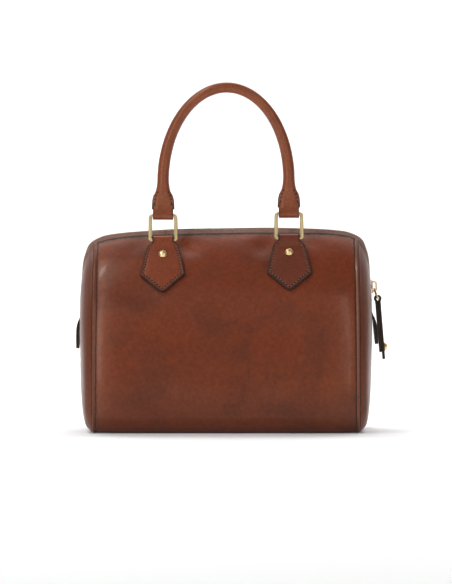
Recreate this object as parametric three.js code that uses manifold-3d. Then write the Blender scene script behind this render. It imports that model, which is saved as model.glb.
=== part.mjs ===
// A boston bag in brown leather: a barrel body that wraps under the base, two domed end panels with
// piped seams, a zip that runs over the top and down both ends, and two rolled handles on brass rings.
// Millimetres, +Z up. X runs along the bag, the front faces -Y, and the origin is on the base, mid bag.
import * as THREE from "three";
import { mergeVertices } from "three/addons/utils/BufferGeometryUtils.js";
import Module from "manifold-3d";

const wasm = await Module();
wasm.setup();

// Body
const seamX = 125.4; // from mid bag to each piped seam
const halfDepth = 74.5; // from mid bag to the fullest part of the front
const edgeHeight = 190; // of the leather edge beside the zip, at mid length
const rearRise = 5; // how much higher the rear leather edge stands at mid length
const zipHalfGap = 8.5; // from mid bag to those leather edges
const baseCorner = 16; // radius where the base turns up into the front
const leather = 2; // thickness of the body leather
const endBulge = 15; // how far an end panel stands out past its seam
const endDrop = 7.8; // how far the top edge falls from mid length to a seam
const endInset = 6; // how far the front draws in from mid length to a seam
const sideRise = 2; // how much higher the right seam stands than the mean of the two
const dentDepth = 2.4; // of the deepest soft dent in the front
const pipingRadius = 1.4;
const pipingSink = 0.4; // how far the piping's centre lies under the leather surface
const clearance = 0.3; // between pieces that touch

// Zip
const ridgeHeight = 4.3; // the closed teeth stand this far over the front leather edge
const ridgeEnd = 0.5; // and this far over the leather at the ends of the zip
const ridgeFade = 40; // length down an end over which the ridge sinks
const chainHalfWidth = 2.8;
const chainThickness = 2.4;
const tapeThickness = 0.8;
const tapeUnder = 3.5; // width of tape under each leather edge
const slotDepth = 76; // how far the zip slot runs down an end panel
const slotTail = 7; // length of slot below the end of the tape

// Zip slider, its link and its leather pull, on the right end
const sliderDrop = 46; // from the seam's top edge down to the slider's middle
const sliderLength = 13;
const sliderHalfWidth = 4.5;
const plateThickness = 0.9;
const postSize = 3;
const bridgeLength = 10.4;
const bridgeWire = 1.6;
const bridgeRoom = 2.6; // clear height under the bridge
const linkWire = 1.5;
const linkReach = 10; // between the centres of the link's two bars
const linkHead = 3; // half width of the link where it hangs on the bridge
const linkLean = 0.34; // radians out from straight down
const pullWidth = 10;
const pullLength = 59;
const pullThickness = 5.2; // of its two layers together
const pullFold = 2.1; // thickness of the fold round the link
const pullLean = 0.08;
const pullLap = 7; // how much shorter the inner layer is
const pullStudUp = 12; // from the pull's end to its stud

// Leather caps on the two free ends of the zip
const capLength = 24; // below the slot
const capThickness = 3.2;
const capWidth = 22;
const capPoint = 7; // length of the pointed end
const capTip = 3.3; // width left at the point
const capLeanLeft = 0.02;
const capLeanRight = 0.09;

// Handle tabs
const tabX = 60.2; // from mid bag to the middle of each tab
const tabSeat = 16; // from the leather edge down the surface to the ring's seat
const tabLength = 59; // from the seat to the point
const tabPoint = 18; // length of the pointed end
const tabWidth = 42;
const shoulderWidth = 30.5;
const shoulderDrop = 9; // from the seat to the shoulders
const neckWidth = 20;
const tabThickness = 3;
const studDrop = 18; // from the seat to the stud

// Studs
const studRadius = 4.1;
const studHeight = 2.9;

// Rings
const ringWire = 3.8;
const ringThickness = 3.4;
const ringBevel = 0.8;
const ringPitch = 23.4; // between the centres of the lower and upper bars
const ringCorner = 3.2;

// Handles
const handleRise = 145; // from a ring's lower bar to the crown of the handle's centre line
const handleShoulder = 56; // from the lower bar up to where the legs start to curve
const handleRadius = 5; // at the crown
const legRadius = 5.6; // at the foot of the rolled legs
const flapDrop = 6; // from the ring's upper bar up to the stitched end of the roll
const flapLength = 27; // of the flared end, up to the round leg
const flapWidth = 21.8;
const flapThickness = 6.4;

// Leather loops round a ring's bar
const loopWall = 1.5;
const loopRadius = ringWire / 2 + 2 * clearance;
const loopOuter = loopRadius + loopWall;
const loopTail = 12; // from the bar to where the fold of a tab lies flat

// Fineness of the faceted pieces
const wallSteps = 11; // from the base corner up to a leather edge
const cornerSteps = 4; // round the base corner
const zipSteps = 36; // along the zip
const zipDivisions = 800; // for measuring along the zip's curve
const chainSides = 6;
const pipingSteps = 34;
const pipingSides = 6;
const bridgeSteps = 12;
const bridgeSides = 8;
const foldSteps = 6; // round a quarter of a strap's fold
const archSteps = 20; // round a handle's arch
const handleSides = 10;
const hangSteps = 15; // down the line that the back handle hangs along
const studSides = 12;
const studSteps = 4; // over a stud's dome

// Side view of the front wall: shares of its depth outside the zip gap and height over the base corner.
const wallShape = [
  { depth: 1, height: 0 },
  { depth: 1, height: 0.138 },
  { depth: 0.96, height: 0.368 },
  { depth: 0.886, height: 0.511 },
  { depth: 0.764, height: 0.655 },
  { depth: 0.582, height: 0.782 },
  { depth: 0.371, height: 0.887 },
  { depth: 0.174, height: 0.954 },
  { depth: 0, height: 1 },
];

// How the body closes in towards its ends: shares of the half length, of endDrop and of endInset.
const endRoll = [
  { along: 0, drop: 0, inset: 0 },
  { along: 0.2, drop: 0, inset: 0 },
  { along: 0.38, drop: 0.02, inset: 0 },
  { along: 0.54, drop: 0.06, inset: 0.02 },
  { along: 0.7, drop: 0.15, inset: 0.07 },
  { along: 0.82, drop: 0.31, inset: 0.18 },
  { along: 0.91, drop: 0.52, inset: 0.4 },
  { along: 0.97, drop: 0.78, inset: 0.7 },
  { along: 1, drop: 1, inset: 1 },
];

// Soft dents in the front: middle and half size as shares of half length and edgeHeight, and of dentDepth.
const dents = [
  { along: -0.62, up: 0.69, width: 0.32, height: 0.09, depth: 0.8 },
  { along: -0.3, up: 0.92, width: 0.18, height: 0.08, depth: 1 },
  { along: 0.28, up: 0.92, width: 0.18, height: 0.08, depth: 0.8 },
  { along: 0.62, up: 0.6, width: 0.26, height: 0.1, depth: 0.5 },
];

// Dome of an end panel: shares of the way in from the rim, and of its bulge above and below mid height.
const dome = [
  { inward: 0, upper: 0, lower: 0 },
  { inward: 0.03, upper: 0.11, lower: 0.26 },
  { inward: 0.08, upper: 0.33, lower: 0.49 },
  { inward: 0.16, upper: 0.6, lower: 0.62 },
  { inward: 0.3, upper: 0.85, lower: 0.74 },
  { inward: 0.5, upper: 0.985, lower: 0.85 },
  { inward: 0.75, upper: 1, lower: 0.95 },
  { inward: 1, upper: 1, lower: 1 },
];
const domeMiddle = 0.46; // height of the dome's middle, as a share of the seam's height
const baseShare = 0.6; // of the flat base's half width, where its facets divide

// Places of the zip: shares of the way up its straight end, and of the half length over the top.
const zipEnd = [0, 0.2, 0.4, 0.6, 0.76, 0.88, 0.96];
const zipOver = [-0.94, -0.84, -0.68, -0.5, -0.25, 0, 0.25, 0.5, 0.68, 0.84, 0.94];

// Outline of the slider's plates: shares of half its length and half its width.
const sliderForm = { waist: 0.2, nose: 0.62, cheek: 0.5, tail: 0.8 };

// Slider bridge: shares of its half length and of its rise over the plate.
const bridgeForm = [
  { along: -1, up: 0 },
  { along: -1, up: 0.5 },
  { along: -0.62, up: 1 },
  { along: 0.62, up: 1 },
  { along: 1, up: 0.5 },
  { along: 1, up: 0 },
];

// Rows of a tab from its shoulders to its widest part, and then shares of its pointed end.
const tabSide = [0, 0.3, 0.65, 1];
const tabAcross = [-1, -0.35, 0.35, 1]; // columns across a tab, as shares of its half width
const neckStart = 0.6; // of the shoulder drop, where a tab's neck ends
const tabEnd = [
  { down: 0.08, width: 0.97 },
  { down: 0.35, width: 0.7 },
  { down: 0.68, width: 0.38 },
  { down: 0.92, width: 0.14 },
  { down: 1, width: 0.05 },
];

// Flared end of a handle: shares of flapLength, and of the change from the flat end to the round leg.
const flare = [
  { up: 0, width: 0, round: 0 },
  { up: 0.28, width: 0.07, round: 0.15 },
  { up: 0.46, width: 0.26, round: 0.4 },
  { up: 0.64, width: 0.7, round: 0.75 },
  { up: 0.82, width: 0.9, round: 0.95 },
  { up: 1, width: 1, round: 1 },
];

// How far the hanging back handle stands off the wall, at distances from the ring's seat.
const lie = [
  { down: 0, lift: clearance + loopOuter },
  { down: ringPitch - loopOuter, lift: 3 * clearance + tabThickness + studHeight + loopOuter },
  { down: ringPitch + loopOuter, lift: 3 * clearance + tabThickness + studHeight + loopOuter },
  { down: 0.7 * tabLength, lift: 3 * clearance + tabThickness + legRadius },
  { down: tabLength, lift: 3 * clearance + tabThickness + legRadius },
  { down: 1.4 * tabLength, lift: 2 * clearance + legRadius },
  { down: 1.2 * handleRise, lift: 2 * clearance + handleRadius },
];

const materials = {
  body: { color: 0x73402c, roughness: 0.38, metalness: 0 },
  trim: { color: 0x7d432b, roughness: 0.4, metalness: 0 },
  handle: { color: 0x8a5034, roughness: 0.4, metalness: 0 },
  dark: { color: 0x2e211c, roughness: 0.5, metalness: 0 },
  tape: { color: 0x6b4a3c, roughness: 0.85, metalness: 0 },
  brass: { color: 0xc9a44e, roughness: 0.28, metalness: 1 },
};

const oval = 2; // squareness of a round section
const flatRoll = 5; // squareness of a handle's flat end
const chainSquare = 4; // squareness of the closed teeth

const across = new THREE.Vector3(1, 0, 0);
const rearward = new THREE.Vector3(0, 1, 0);
const { lerp, clamp, smoothstep } = THREE.MathUtils;

// Reads one column of a table at a value of its first column, in straight lines between rows.
function lookUp(table, key, value, column) {
  const next = table.findIndex((row) => row[key] > value);
  const b = next === -1 ? table.length - 1 : Math.max(1, next);
  const share = (value - table[b - 1][key]) / (table[b][key] - table[b - 1][key]);
  return lerp(table[b - 1][column], table[b][column], clamp(share, 0, 1));
}

function solidOf(geometry) {
  const bare = geometry.clone();
  bare.deleteAttribute("normal");
  bare.deleteAttribute("uv");
  const merged = mergeVertices(bare, 1e-4);
  return new wasm.Manifold(
    new wasm.Mesh({
      numProp: 3,
      vertProperties: merged.attributes.position.array,
      triVerts: new Uint32Array(merged.index.array),
    }),
  );
}

function geometryOf(solid) {
  const { vertProperties, triVerts } = solid.getMesh();
  const geometry = new THREE.BufferGeometry();
  geometry.setAttribute("position", new THREE.BufferAttribute(new Float32Array(vertProperties), 3));
  geometry.setIndex(new THREE.BufferAttribute(new Uint32Array(triVerts), 1));
  geometry.computeVertexNormals();
  return geometry;
}

function joined(...geometries) {
  return geometryOf(geometries.map(solidOf).reduce((whole, solid) => whole.add(solid)));
}

// Makes a closed geometry of faces, each a list of points, and turns them all outwards.
function closedSurface(faces) {
  const triangles = faces.flatMap((f) => (f.length === 4 ? [[f[0], f[1], f[2]], [f[0], f[2], f[3]]] : [f]));
  const volume = triangles.reduce((sum, [a, b, c]) => sum + a.dot(b.clone().cross(c)), 0);
  const points = triangles.flatMap(([a, b, c]) => (volume > 0 ? [a, b, c] : [a, c, b]));
  const geometry = mergeVertices(new THREE.BufferGeometry().setFromPoints(points), 1e-4);
  geometry.computeVertexNormals();
  return geometry;
}

// Sheet of material between two grids of points, closed along its edges.
function sheet(outer, inner) {
  const faces = [];
  const rows = outer.length - 1;
  const columns = outer[0].length - 1;
  for (let r = 0; r < rows; r++) {
    for (let c = 0; c < columns; c++) {
      faces.push([outer[r][c], outer[r][c + 1], outer[r + 1][c + 1], outer[r + 1][c]]);
      faces.push([inner[r][c], inner[r + 1][c], inner[r + 1][c + 1], inner[r][c + 1]]);
    }
    faces.push([outer[r][0], outer[r + 1][0], inner[r + 1][0], inner[r][0]]);
    faces.push([outer[r + 1][columns], outer[r][columns], inner[r][columns], inner[r + 1][columns]]);
  }
  for (let c = 0; c < columns; c++) {
    faces.push([outer[0][c + 1], outer[0][c], inner[0][c], inner[0][c + 1]]);
    faces.push([outer[rows][c], outer[rows][c + 1], inner[rows][c + 1], inner[rows][c]]);
  }
  return closedSurface(faces);
}

// Bowl of material between two stacks of closed rings of points, each stack ending in a middle point.
function bowl(outer, inner, outerTip, innerTip) {
  const faces = [];
  const last = outer.length - 1;
  for (let c = 0; c < outer[0].length; c++) {
    const d = (c + 1) % outer[0].length;
    for (let r = 0; r < last; r++) {
      faces.push([outer[r][c], outer[r][d], outer[r + 1][d], outer[r + 1][c]]);
      faces.push([inner[r][c], inner[r + 1][c], inner[r + 1][d], inner[r][d]]);
    }
    faces.push([outer[0][d], outer[0][c], inner[0][c], inner[0][d]]);
    faces.push([outer[last][c], outer[last][d], outerTip]);
    faces.push([inner[last][d], inner[last][c], innerTip]);
  }
  return closedSurface(faces);
}

// Closed bar through a list of rings of points, with a flat end at each side.
function bar(rings) {
  const faces = [];
  const sides = rings[0].length;
  const end = rings.at(-1);
  rings.slice(1).forEach((ring, i) => {
    for (let k = 0; k < sides; k++) {
      const m = (k + 1) % sides;
      faces.push([rings[i][k], rings[i][m], ring[m], ring[k]]);
    }
  });
  for (let k = 1; k < sides - 1; k++) {
    faces.push([rings[0][0], rings[0][k + 1], rings[0][k]]);
    faces.push([end[0], end[k], end[k + 1]]);
  }
  return closedSurface(faces);
}

// Ring of points round a centre: half sizes a and b along u and v, from an oval to a rounded box.
function section(centre, u, v, a, b, squareness, sides) {
  const bend = (t) => Math.sign(t) * Math.abs(t) ** (2 / squareness);
  return Array.from({ length: sides }, (unused, k) => {
    const turn = ((k + 0.5) / sides) * 2 * Math.PI;
    const point = centre.clone().addScaledVector(u, a * bend(Math.cos(turn)));
    return point.addScaledVector(v, b * bend(Math.sin(turn)));
  });
}

// Flat shape from the corners of one side, mirrored in its X axis.
function mirrored(side) {
  const other = side.map(([x, y]) => [x, -y]);
  return new THREE.Shape([...other, ...side.reverse()].map(([x, y]) => new THREE.Vector2(x, y)));
}

// Extrudes a flat shape by its thickness, half to each side, with its corners taken off by bevel.
function plate(shape, thickness, bevel, curveSegments) {
  const geometry = new THREE.ExtrudeGeometry(shape, {
    depth: thickness - 2 * bevel,
    bevelEnabled: bevel > 0,
    bevelThickness: bevel,
    bevelSize: bevel,
    bevelOffset: -bevel,
    bevelSegments: 1,
    curveSegments,
  });
  return geometry.translate(0, 0, bevel - thickness / 2);
}

// Round wire along a curve.
function wire(path, radius, steps, sides) {
  const round = new THREE.Shape().absarc(0, 0, radius, 0, 2 * Math.PI);
  return new THREE.ExtrudeGeometry(round, { extrudePath: path, steps, curveSegments: sides / 2 });
}

// Moves a geometry so that its X and Y axes lie along two directions and its origin is at a point.
function placed(geometry, origin, x, y) {
  const z = x.clone().cross(y);
  return geometry.applyMatrix4(new THREE.Matrix4().makeBasis(x, y, z).setPosition(origin));
}

// Side view of a strap folded round a bar at the origin: two layers run to reach, the upper one on by lap.
function foldShape(radius, wall, reach, low, high, lap = 0) {
  const outer = radius + wall;
  const turn = (end, sign) => Math.atan2(end, reach) + sign * Math.acos(outer / Math.hypot(end, reach));
  const middle = (low + high) / 2;
  const shape = new THREE.Shape().moveTo(reach, low);
  shape.absarc(0, 0, outer, turn(low, -1), turn(high, 1), true);
  shape.lineTo(reach + lap, high);
  if (lap > 0) shape.lineTo(reach + lap, middle).lineTo(reach, middle);
  shape.holes.push(new THREE.Path().absarc(0, 0, radius, 0, 2 * Math.PI, false));
  return shape;
}

// Half depth of the body, height of a leather edge and lift of the base, at one place along the bag.
function bodySize(x, face = -1) {
  const along = Math.min(1, Math.abs(x) / seamX);
  const inset = lookUp(endRoll, "along", along, "inset");
  const drop = endDrop * lookUp(endRoll, "along", along, "drop");
  const rear = face > 0 ? rearRise * (1 - along ** 4) : 0;
  return {
    depth: halfDepth - endInset * inset,
    top: edgeHeight - drop + (sideRise * x) / seamX + rear,
    base: (pipingRadius - pipingSink) * inset,
  };
}

// Height of the front leather edge at the left or right seam.
function seamTop(side) {
  return bodySize(side * seamX).top;
}

// Curve of the front (-1) or back (1) wall at one place along the bag, from the base corner up.
function wallCurve(x, face) {
  const { depth, top, base } = bodySize(x, face);
  const foot = base + baseCorner;
  const points = wallShape.map((row) => {
    const out = zipHalfGap + row.depth * (depth - zipHalfGap);
    return new THREE.Vector2(out, foot + row.height * (top - foot));
  });
  return new THREE.SplineCurve(points);
}

// Depth of the soft dents at a place on the front.
function dentAt(x, z) {
  return dents.reduce((sum, dent) => {
    const far = Math.hypot((x / seamX - dent.along) / dent.width, (z / edgeHeight - dent.up) / dent.height);
    return sum + (far < 1 ? dentDepth * dent.depth * Math.cos((far * Math.PI) / 2) ** 2 : 0);
  }, 0);
}

// Outline of the front or back half of the body, base middle to leather edge, moved out by grow.
function halfOutline(x, face, grow) {
  const { depth, base } = bodySize(x, face);
  const flat = depth - baseCorner;
  const points = [0, baseShare].map((share) => new THREE.Vector2(share * flat, base));
  for (let k = 0; k < cornerSteps; k++) {
    const turn = (k / cornerSteps) * (Math.PI / 2);
    const rise = baseCorner * (1 - Math.cos(turn));
    points.push(new THREE.Vector2(flat + baseCorner * Math.sin(turn), base + rise));
  }
  points.push(...wallCurve(x, face).getSpacedPoints(wallSteps));
  return points.map((p, i) => {
    const before = points[Math.max(i - 1, 0)];
    const after = points[Math.min(i + 1, points.length - 1)];
    const along = after.clone().sub(before).normalize();
    const out = grow - (face < 0 ? dentAt(x, p.y) : 0);
    return new THREE.Vector3(x, face * (p.x + along.y * out), p.y - along.x * out);
  });
}

// Outline of the whole body at one place: front leather edge, down, under the base and up to the back one.
function outline(x, grow) {
  return [...halfOutline(x, -1, grow).slice(1).reverse(), ...halfOutline(x, 1, grow)];
}

function bodyWrap() {
  const reach = seamX - pipingRadius - clearance;
  const right = endRoll.map((row) => row.along * reach);
  const left = right.slice(1).map((x) => -x).reverse();
  const stations = [...left, ...right];
  return sheet(
    stations.map((x) => outline(x, 0)),
    stations.map((x) => outline(x, -leather)),
  );
}

function piping(side) {
  const path = new THREE.CatmullRomCurve3(outline(side * seamX, -pipingSink), false, "centripetal");
  return wire(path, pipingRadius, pipingSteps, pipingSides);
}

const rimX = seamX + pipingRadius + clearance;
const domeReach = seamX + endBulge - rimX;

// Rim of an end panel: the body's outline, closed over the zip by one point on the middle line.
function rim(side, grow) {
  const points = outline(side * seamX, grow);
  const top = points[0].clone().setY(0);
  top.z += zipHalfGap / 4;
  return [...points, top].map((p) => p.setX(side * rimX));
}

const rims = new Map([-1, 1].map((side) => [side, rim(side, 0)]));

// Middle of an end panel, standing out past its rim.
function domeCentre(side, out) {
  return new THREE.Vector3(side * (rimX + out), 0, domeMiddle * seamTop(side));
}

// How far an end panel stands out past its rim, at a share of the way in and a direction up (1) or down (-1).
function domeRise(inward, up) {
  const upper = lookUp(dome, "inward", inward, "upper");
  const lower = lookUp(dome, "inward", inward, "lower");
  return domeReach * lerp(lower, upper, (1 + up) / 2);
}

// Distance in X from mid bag to an end panel's outer face, at a depth and a height.
function domeX(side, y, z) {
  const middle = domeCentre(side, 0).z;
  const reach = Math.hypot(y, z - middle);
  const way = new THREE.Vector2(y, z - middle).divideScalar(Math.max(reach, 1e-6));
  const edge = rims.get(side).map((p) => new THREE.Vector2(p.y, p.z - middle));
  const radius = edge.reduce((most, a, i) => {
    const ab = edge[(i + 1) % edge.length].clone().sub(a);
    const share = a.cross(way) / way.cross(ab);
    const hit = share >= 0 && share <= 1 ? a.clone().addScaledVector(ab, share).dot(way) : 0;
    return Math.max(most, hit);
  }, 0);
  return rimX + domeRise(1 - Math.min(1, reach / radius), way.y);
}

function endPanel(side) {
  const centre = domeCentre(side, 0);
  const outer = dome.slice(0, -1).map((row) =>
    rims.get(side).map((p) => {
      const up = p.clone().sub(centre).normalize().z;
      return p.clone().lerp(centre, row.inward).setX(side * (rimX + domeRise(row.inward, up)));
    }),
  );
  const inner = outer.slice(1).map((ring, r) => {
    const next = outer[r + 2] ?? ring.map(() => domeCentre(side, domeReach));
    return ring.map((p, c) => {
      const round = ring[(c + 1) % ring.length].clone().sub(ring.at(c - 1));
      const normal = round.cross(next[c].clone().sub(outer[r][c])).normalize();
      return p.clone().addScaledVector(normal, -leather * side * Math.sign(normal.x));
    });
  });
  inner.unshift(rim(side, -leather));
  const shell = bowl(outer, inner, domeCentre(side, domeReach), domeCentre(side, domeReach - leather));
  const slot = new THREE.BoxGeometry(4 * endBulge, 2 * zipHalfGap, 2 * slotDepth);
  slot.translate(side * rimX, 0, seamTop(side));
  return geometryOf(solidOf(shell).subtract(solidOf(slot)));
}

// Line of the zip at the level of the front leather edge, from the foot of the left slot to the right one.
function zipLine() {
  const end = (side) =>
    zipEnd.map((share) => {
      const z = seamTop(side) - (1 - share) * (slotDepth - slotTail);
      return new THREE.Vector3(side * domeX(side, zipHalfGap, z), 0, z);
    });
  const over = zipOver.map((share) => new THREE.Vector3(share * seamX, 0, bodySize(share * seamX).top));
  const curve = new THREE.CatmullRomCurve3([...end(-1), ...over, ...end(1).reverse()], false, "centripetal");
  curve.arcLengthDivisions = zipDivisions;
  return curve;
}

const zip = zipLine();
const zipLength = zip.getLength();

// Frame of the zip at a share of its length: place, way along, way out, and how far the ridge stands out.
function zipFrame(share) {
  const point = zip.getPointAt(share);
  const along = zip.getTangentAt(share);
  const out = new THREE.Vector3(-along.z, 0, along.x);
  const side = Math.sign(point.x) || 1;
  const down = (seamTop(side) - point.z) / ridgeFade;
  const ridge = lerp(ridgeHeight, ridgeEnd, smoothstep(down, 0, 1));
  return { point, along, out, ridge, side };
}

// Share of the zip's length at which it has come down to the slider, on the right end.
function findSlider() {
  let [low, high] = [0.5, 1];
  while ((high - low) * zipLength > clearance / 30) {
    const middle = (low + high) / 2;
    if (zip.getPointAt(middle).z > seamTop(1) - sliderDrop) low = middle;
    else high = middle;
  }
  return low;
}

// Slope of the leather beside the zip, in radians down from the middle line.
function leatherSlope({ point, out, side }, face) {
  const up = wallCurve(clamp(point.x, -seamX, seamX), face).getTangent(1);
  const fall = domeX(side, zipHalfGap, point.z) - domeX(side, zipHalfGap + tapeUnder, point.z);
  return lerp(Math.atan2(fall, tapeUnder), Math.atan2(up.y, -up.x), Math.max(0, out.z) ** 2);
}

// Places of a tape across the zip, as depths and levels over the front leather edge.
function tapeColumns(frame, face) {
  const slope = leatherSlope(frame, face);
  const rear = bodySize(frame.point.x, face).top - bodySize(frame.point.x).top;
  const under = leather + clearance + tapeThickness / 2;
  const lip = { y: zipHalfGap - under * Math.sin(slope), level: rear - under * Math.cos(slope) };
  return [
    { y: chainHalfWidth + clearance, level: frame.ridge - chainThickness / 2 },
    lip,
    { y: lip.y + tapeUnder * Math.cos(slope), level: lip.level - tapeUnder * Math.sin(slope) },
  ];
}

function zipTape(face) {
  const frames = Array.from({ length: zipSteps + 1 }, (unused, k) => zipFrame(k / zipSteps));
  const skin = (lift) =>
    frames.map((frame) =>
      tapeColumns(frame, face).map(({ y, level }) =>
        frame.point.clone().addScaledVector(frame.out, level + lift).addScaledVector(rearward, face * y),
      ),
    );
  return sheet(skin(tapeThickness / 2), skin(-tapeThickness / 2));
}

const sliderShare = findSlider();

function zipChain() {
  const stop = sliderShare - (postSize / 2 + clearance) / zipLength;
  const rings = Array.from({ length: zipSteps + 1 }, (unused, k) => {
    const { point, out, ridge } = zipFrame((k / zipSteps) * stop);
    const centre = point.addScaledVector(out, ridge - chainThickness / 2);
    return section(centre, rearward, out, chainHalfWidth, chainThickness / 2, chainSquare, chainSides);
  });
  return bar(rings);
}

// The slider's own frame: X down the zip, Y across it and Z out, with its origin in the middle of the chain.
const slider = zipFrame(sliderShare);
const sliderOrigin = slider.point.clone().addScaledVector(slider.out, slider.ridge - chainThickness / 2);
const plateTop = chainThickness / 2 + clearance + plateThickness;

function sliderPlate(low) {
  const end = sliderLength / 2;
  const [waist, cheek] = [sliderForm.waist * end, -sliderForm.cheek * end];
  const [nose, tail] = [sliderForm.nose * sliderHalfWidth, sliderForm.tail * sliderHalfWidth];
  const shape = new THREE.Shape().moveTo(-end, -nose);
  shape.quadraticCurveTo(cheek, -sliderHalfWidth, waist, -sliderHalfWidth);
  shape.lineTo(end, -tail).lineTo(end, tail).lineTo(waist, sliderHalfWidth);
  shape.quadraticCurveTo(cheek, sliderHalfWidth, -end, nose);
  return plate(shape, plateThickness, 0, 3).translate(0, 0, low + plateThickness / 2);
}

function sliderBridge() {
  const half = (bridgeLength - bridgeWire) / 2;
  const foot = plateTop - plateThickness / 2;
  const crown = plateTop + bridgeRoom + bridgeWire / 2;
  const points = bridgeForm.map(({ along, up }) => new THREE.Vector3(along * half, 0, lerp(foot, crown, up)));
  return wire(new THREE.CatmullRomCurve3(points), bridgeWire / 2, bridgeSteps, bridgeSides);
}

function zipSlider() {
  const post = new THREE.BoxGeometry(postSize, postSize / 2, 2 * plateTop - plateThickness);
  const plates = [sliderPlate(plateTop - plateThickness), sliderPlate(-plateTop)];
  return placed(joined(...plates, post, sliderBridge()), sliderOrigin, slider.along, rearward);
}

// Where the link hangs on the bridge, and the ways that it and the pull hang.
const linkTop = sliderOrigin
  .clone()
  .addScaledVector(slider.along, bridgeLength / 2 - bridgeWire - linkWire)
  .addScaledVector(slider.out, plateTop + bridgeRoom / 2);
const linkWay = new THREE.Vector3(Math.sin(linkLean), 0, -Math.cos(linkLean));
const pullTop = linkTop.clone().addScaledVector(linkWay, linkReach);
const pullWay = new THREE.Vector3(Math.sin(pullLean), 0, -Math.cos(pullLean));
const pullOut = new THREE.Vector3(Math.cos(pullLean), 0, Math.sin(pullLean));
const pullEye = (linkWire + 2 * clearance) * Math.SQRT1_2; // radius of the hole in the pull's fold

// Flat link, wide enough at its foot for the fold of the pull.
function sliderLink() {
  const foot = pullWidth / 2 + clearance + linkWire / 2;
  const head = linkHead - linkWire / 2;
  const shoulder = linkReach - pullEye - pullFold - 2 * clearance;
  const frame = (wide) => {
    const edge = foot + wide;
    return mirrored([[-wide, head + wide / 2], [shoulder - wide / 3, edge], [linkReach + wide, edge]]);
  };
  const shape = frame(linkWire / 2);
  shape.holes.push(frame(-linkWire / 2));
  return placed(plate(shape, linkWire, linkWire / 5, 1), linkTop, linkWay, rearward);
}

function pullStrap() {
  const half = pullWidth / 2;
  const [low, high] = [-pullThickness / 2, pullThickness / 2];
  const side = foldShape(pullEye, pullFold, pullLength - pullLap, low, high, pullLap);
  const strap = placed(plate(side, pullWidth, 0, foldSteps), pullTop, pullWay, pullOut);
  const plan = new THREE.Shape().moveTo(-pullWidth, -half);
  plan.absarc(pullLength - half, 0, half, -Math.PI / 2, Math.PI / 2, false);
  plan.lineTo(-pullWidth, half);
  const cutter = placed(plate(plan, 4 * pullThickness, 0, foldSteps), pullTop, pullWay, rearward);
  return geometryOf(solidOf(strap).intersect(solidOf(cutter)));
}

// Leather cap on a free end of the zip, hanging from the foot of the slot.
function zipCap(side) {
  const lean = side < 0 ? capLeanLeft : capLeanRight;
  const length = slotTail + capLength;
  const shape = mirrored([[0, capWidth / 2], [length - capPoint, capWidth / 2], [length, capTip / 2]]);
  const z = seamTop(side) - slotDepth + slotTail;
  const out = new THREE.Vector3(side * Math.cos(lean), 0, Math.sin(lean));
  const down = new THREE.Vector3(side * Math.sin(lean), 0, -Math.cos(lean));
  const middle = new THREE.Vector3(side * domeX(side, 0, z), 0, z);
  middle.addScaledVector(out, clearance + capThickness / 2);
  return placed(plate(shape, capThickness, 0, 1), middle, down, rearward.clone().multiplyScalar(side));
}

// Place on the front or back wall, a distance down from its leather edge, lifted off the leather.
function onWall(face, x, down, lift) {
  const curve = wallCurve(x, face);
  const share = clamp(1 - down / curve.getLength(), 0, 1);
  const point = curve.getPointAt(share);
  const up = curve.getTangentAt(share);
  return new THREE.Vector3(x, face * (point.x + up.y * lift), point.y - up.x * lift);
}

// Way out of the wall at such a place, and way down it.
function wallWays(face, x, down) {
  const out = onWall(face, x, down, 1).sub(onWall(face, x, down, 0)).normalize();
  const below = across.clone().cross(out).multiplyScalar(-face);
  return { out, below };
}

// Middle of the lower bar of a ring.
function ringSeat(face, side) {
  return onWall(face, side * tabX, tabSeat, clearance + loopOuter);
}

function handleTab(face, side) {
  const straight = tabLength - tabPoint;
  const neckDowns = [loopRadius + loopWall / 3, neckStart * shoulderDrop];
  const neck = neckDowns.map((down) => ({ down, width: neckWidth }));
  const flank = tabSide.map((share) => ({
    down: lerp(shoulderDrop, straight, share),
    width: lerp(shoulderWidth, tabWidth, share),
  }));
  const point = tabEnd.map((row) => ({ down: straight + row.down * tabPoint, width: row.width * tabWidth }));
  const skin = (lift) =>
    [...neck, ...flank, ...point].map(({ down, width }) =>
      tabAcross.map((s) => onWall(face, side * tabX + (s * width) / 2, tabSeat + down, lift)),
    );
  const tongue = sheet(skin(clearance + tabThickness), skin(clearance));
  const { out, below } = wallWays(face, side * tabX, tabSeat);
  const fold = foldShape(loopRadius, loopWall, loopTail, -loopOuter, tabThickness - loopOuter);
  return joined(tongue, placed(plate(fold, neckWidth, 0, foldSteps), ringSeat(face, side), below, out));
}

// Line that the back ring and handle hang along behind the bag, at one place along it.
function hangLine(x) {
  const points = Array.from({ length: hangSteps + 1 }, (unused, k) => {
    const down = (k / hangSteps) * lie.at(-1).down;
    return onWall(1, x, tabSeat + down, lookUp(lie, "down", down, "lift"));
  });
  return new THREE.CatmullRomCurve3(points, false, "centripetal");
}

// Place and way out for a handle, a rise from the ring's lower bar: the front one stands, the back one hangs.
function handlePlace(face, x, rise) {
  if (face < 0) {
    const point = ringSeat(face, -1).lerp(ringSeat(face, 1), (x / tabX + 1) / 2);
    return { point: point.setZ(point.z + rise), out: rearward.clone().negate() };
  }
  const line = hangLine(x);
  const share = rise / line.getLength();
  return { point: line.getPointAt(share), out: across.clone().cross(line.getTangentAt(share)) };
}

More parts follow.
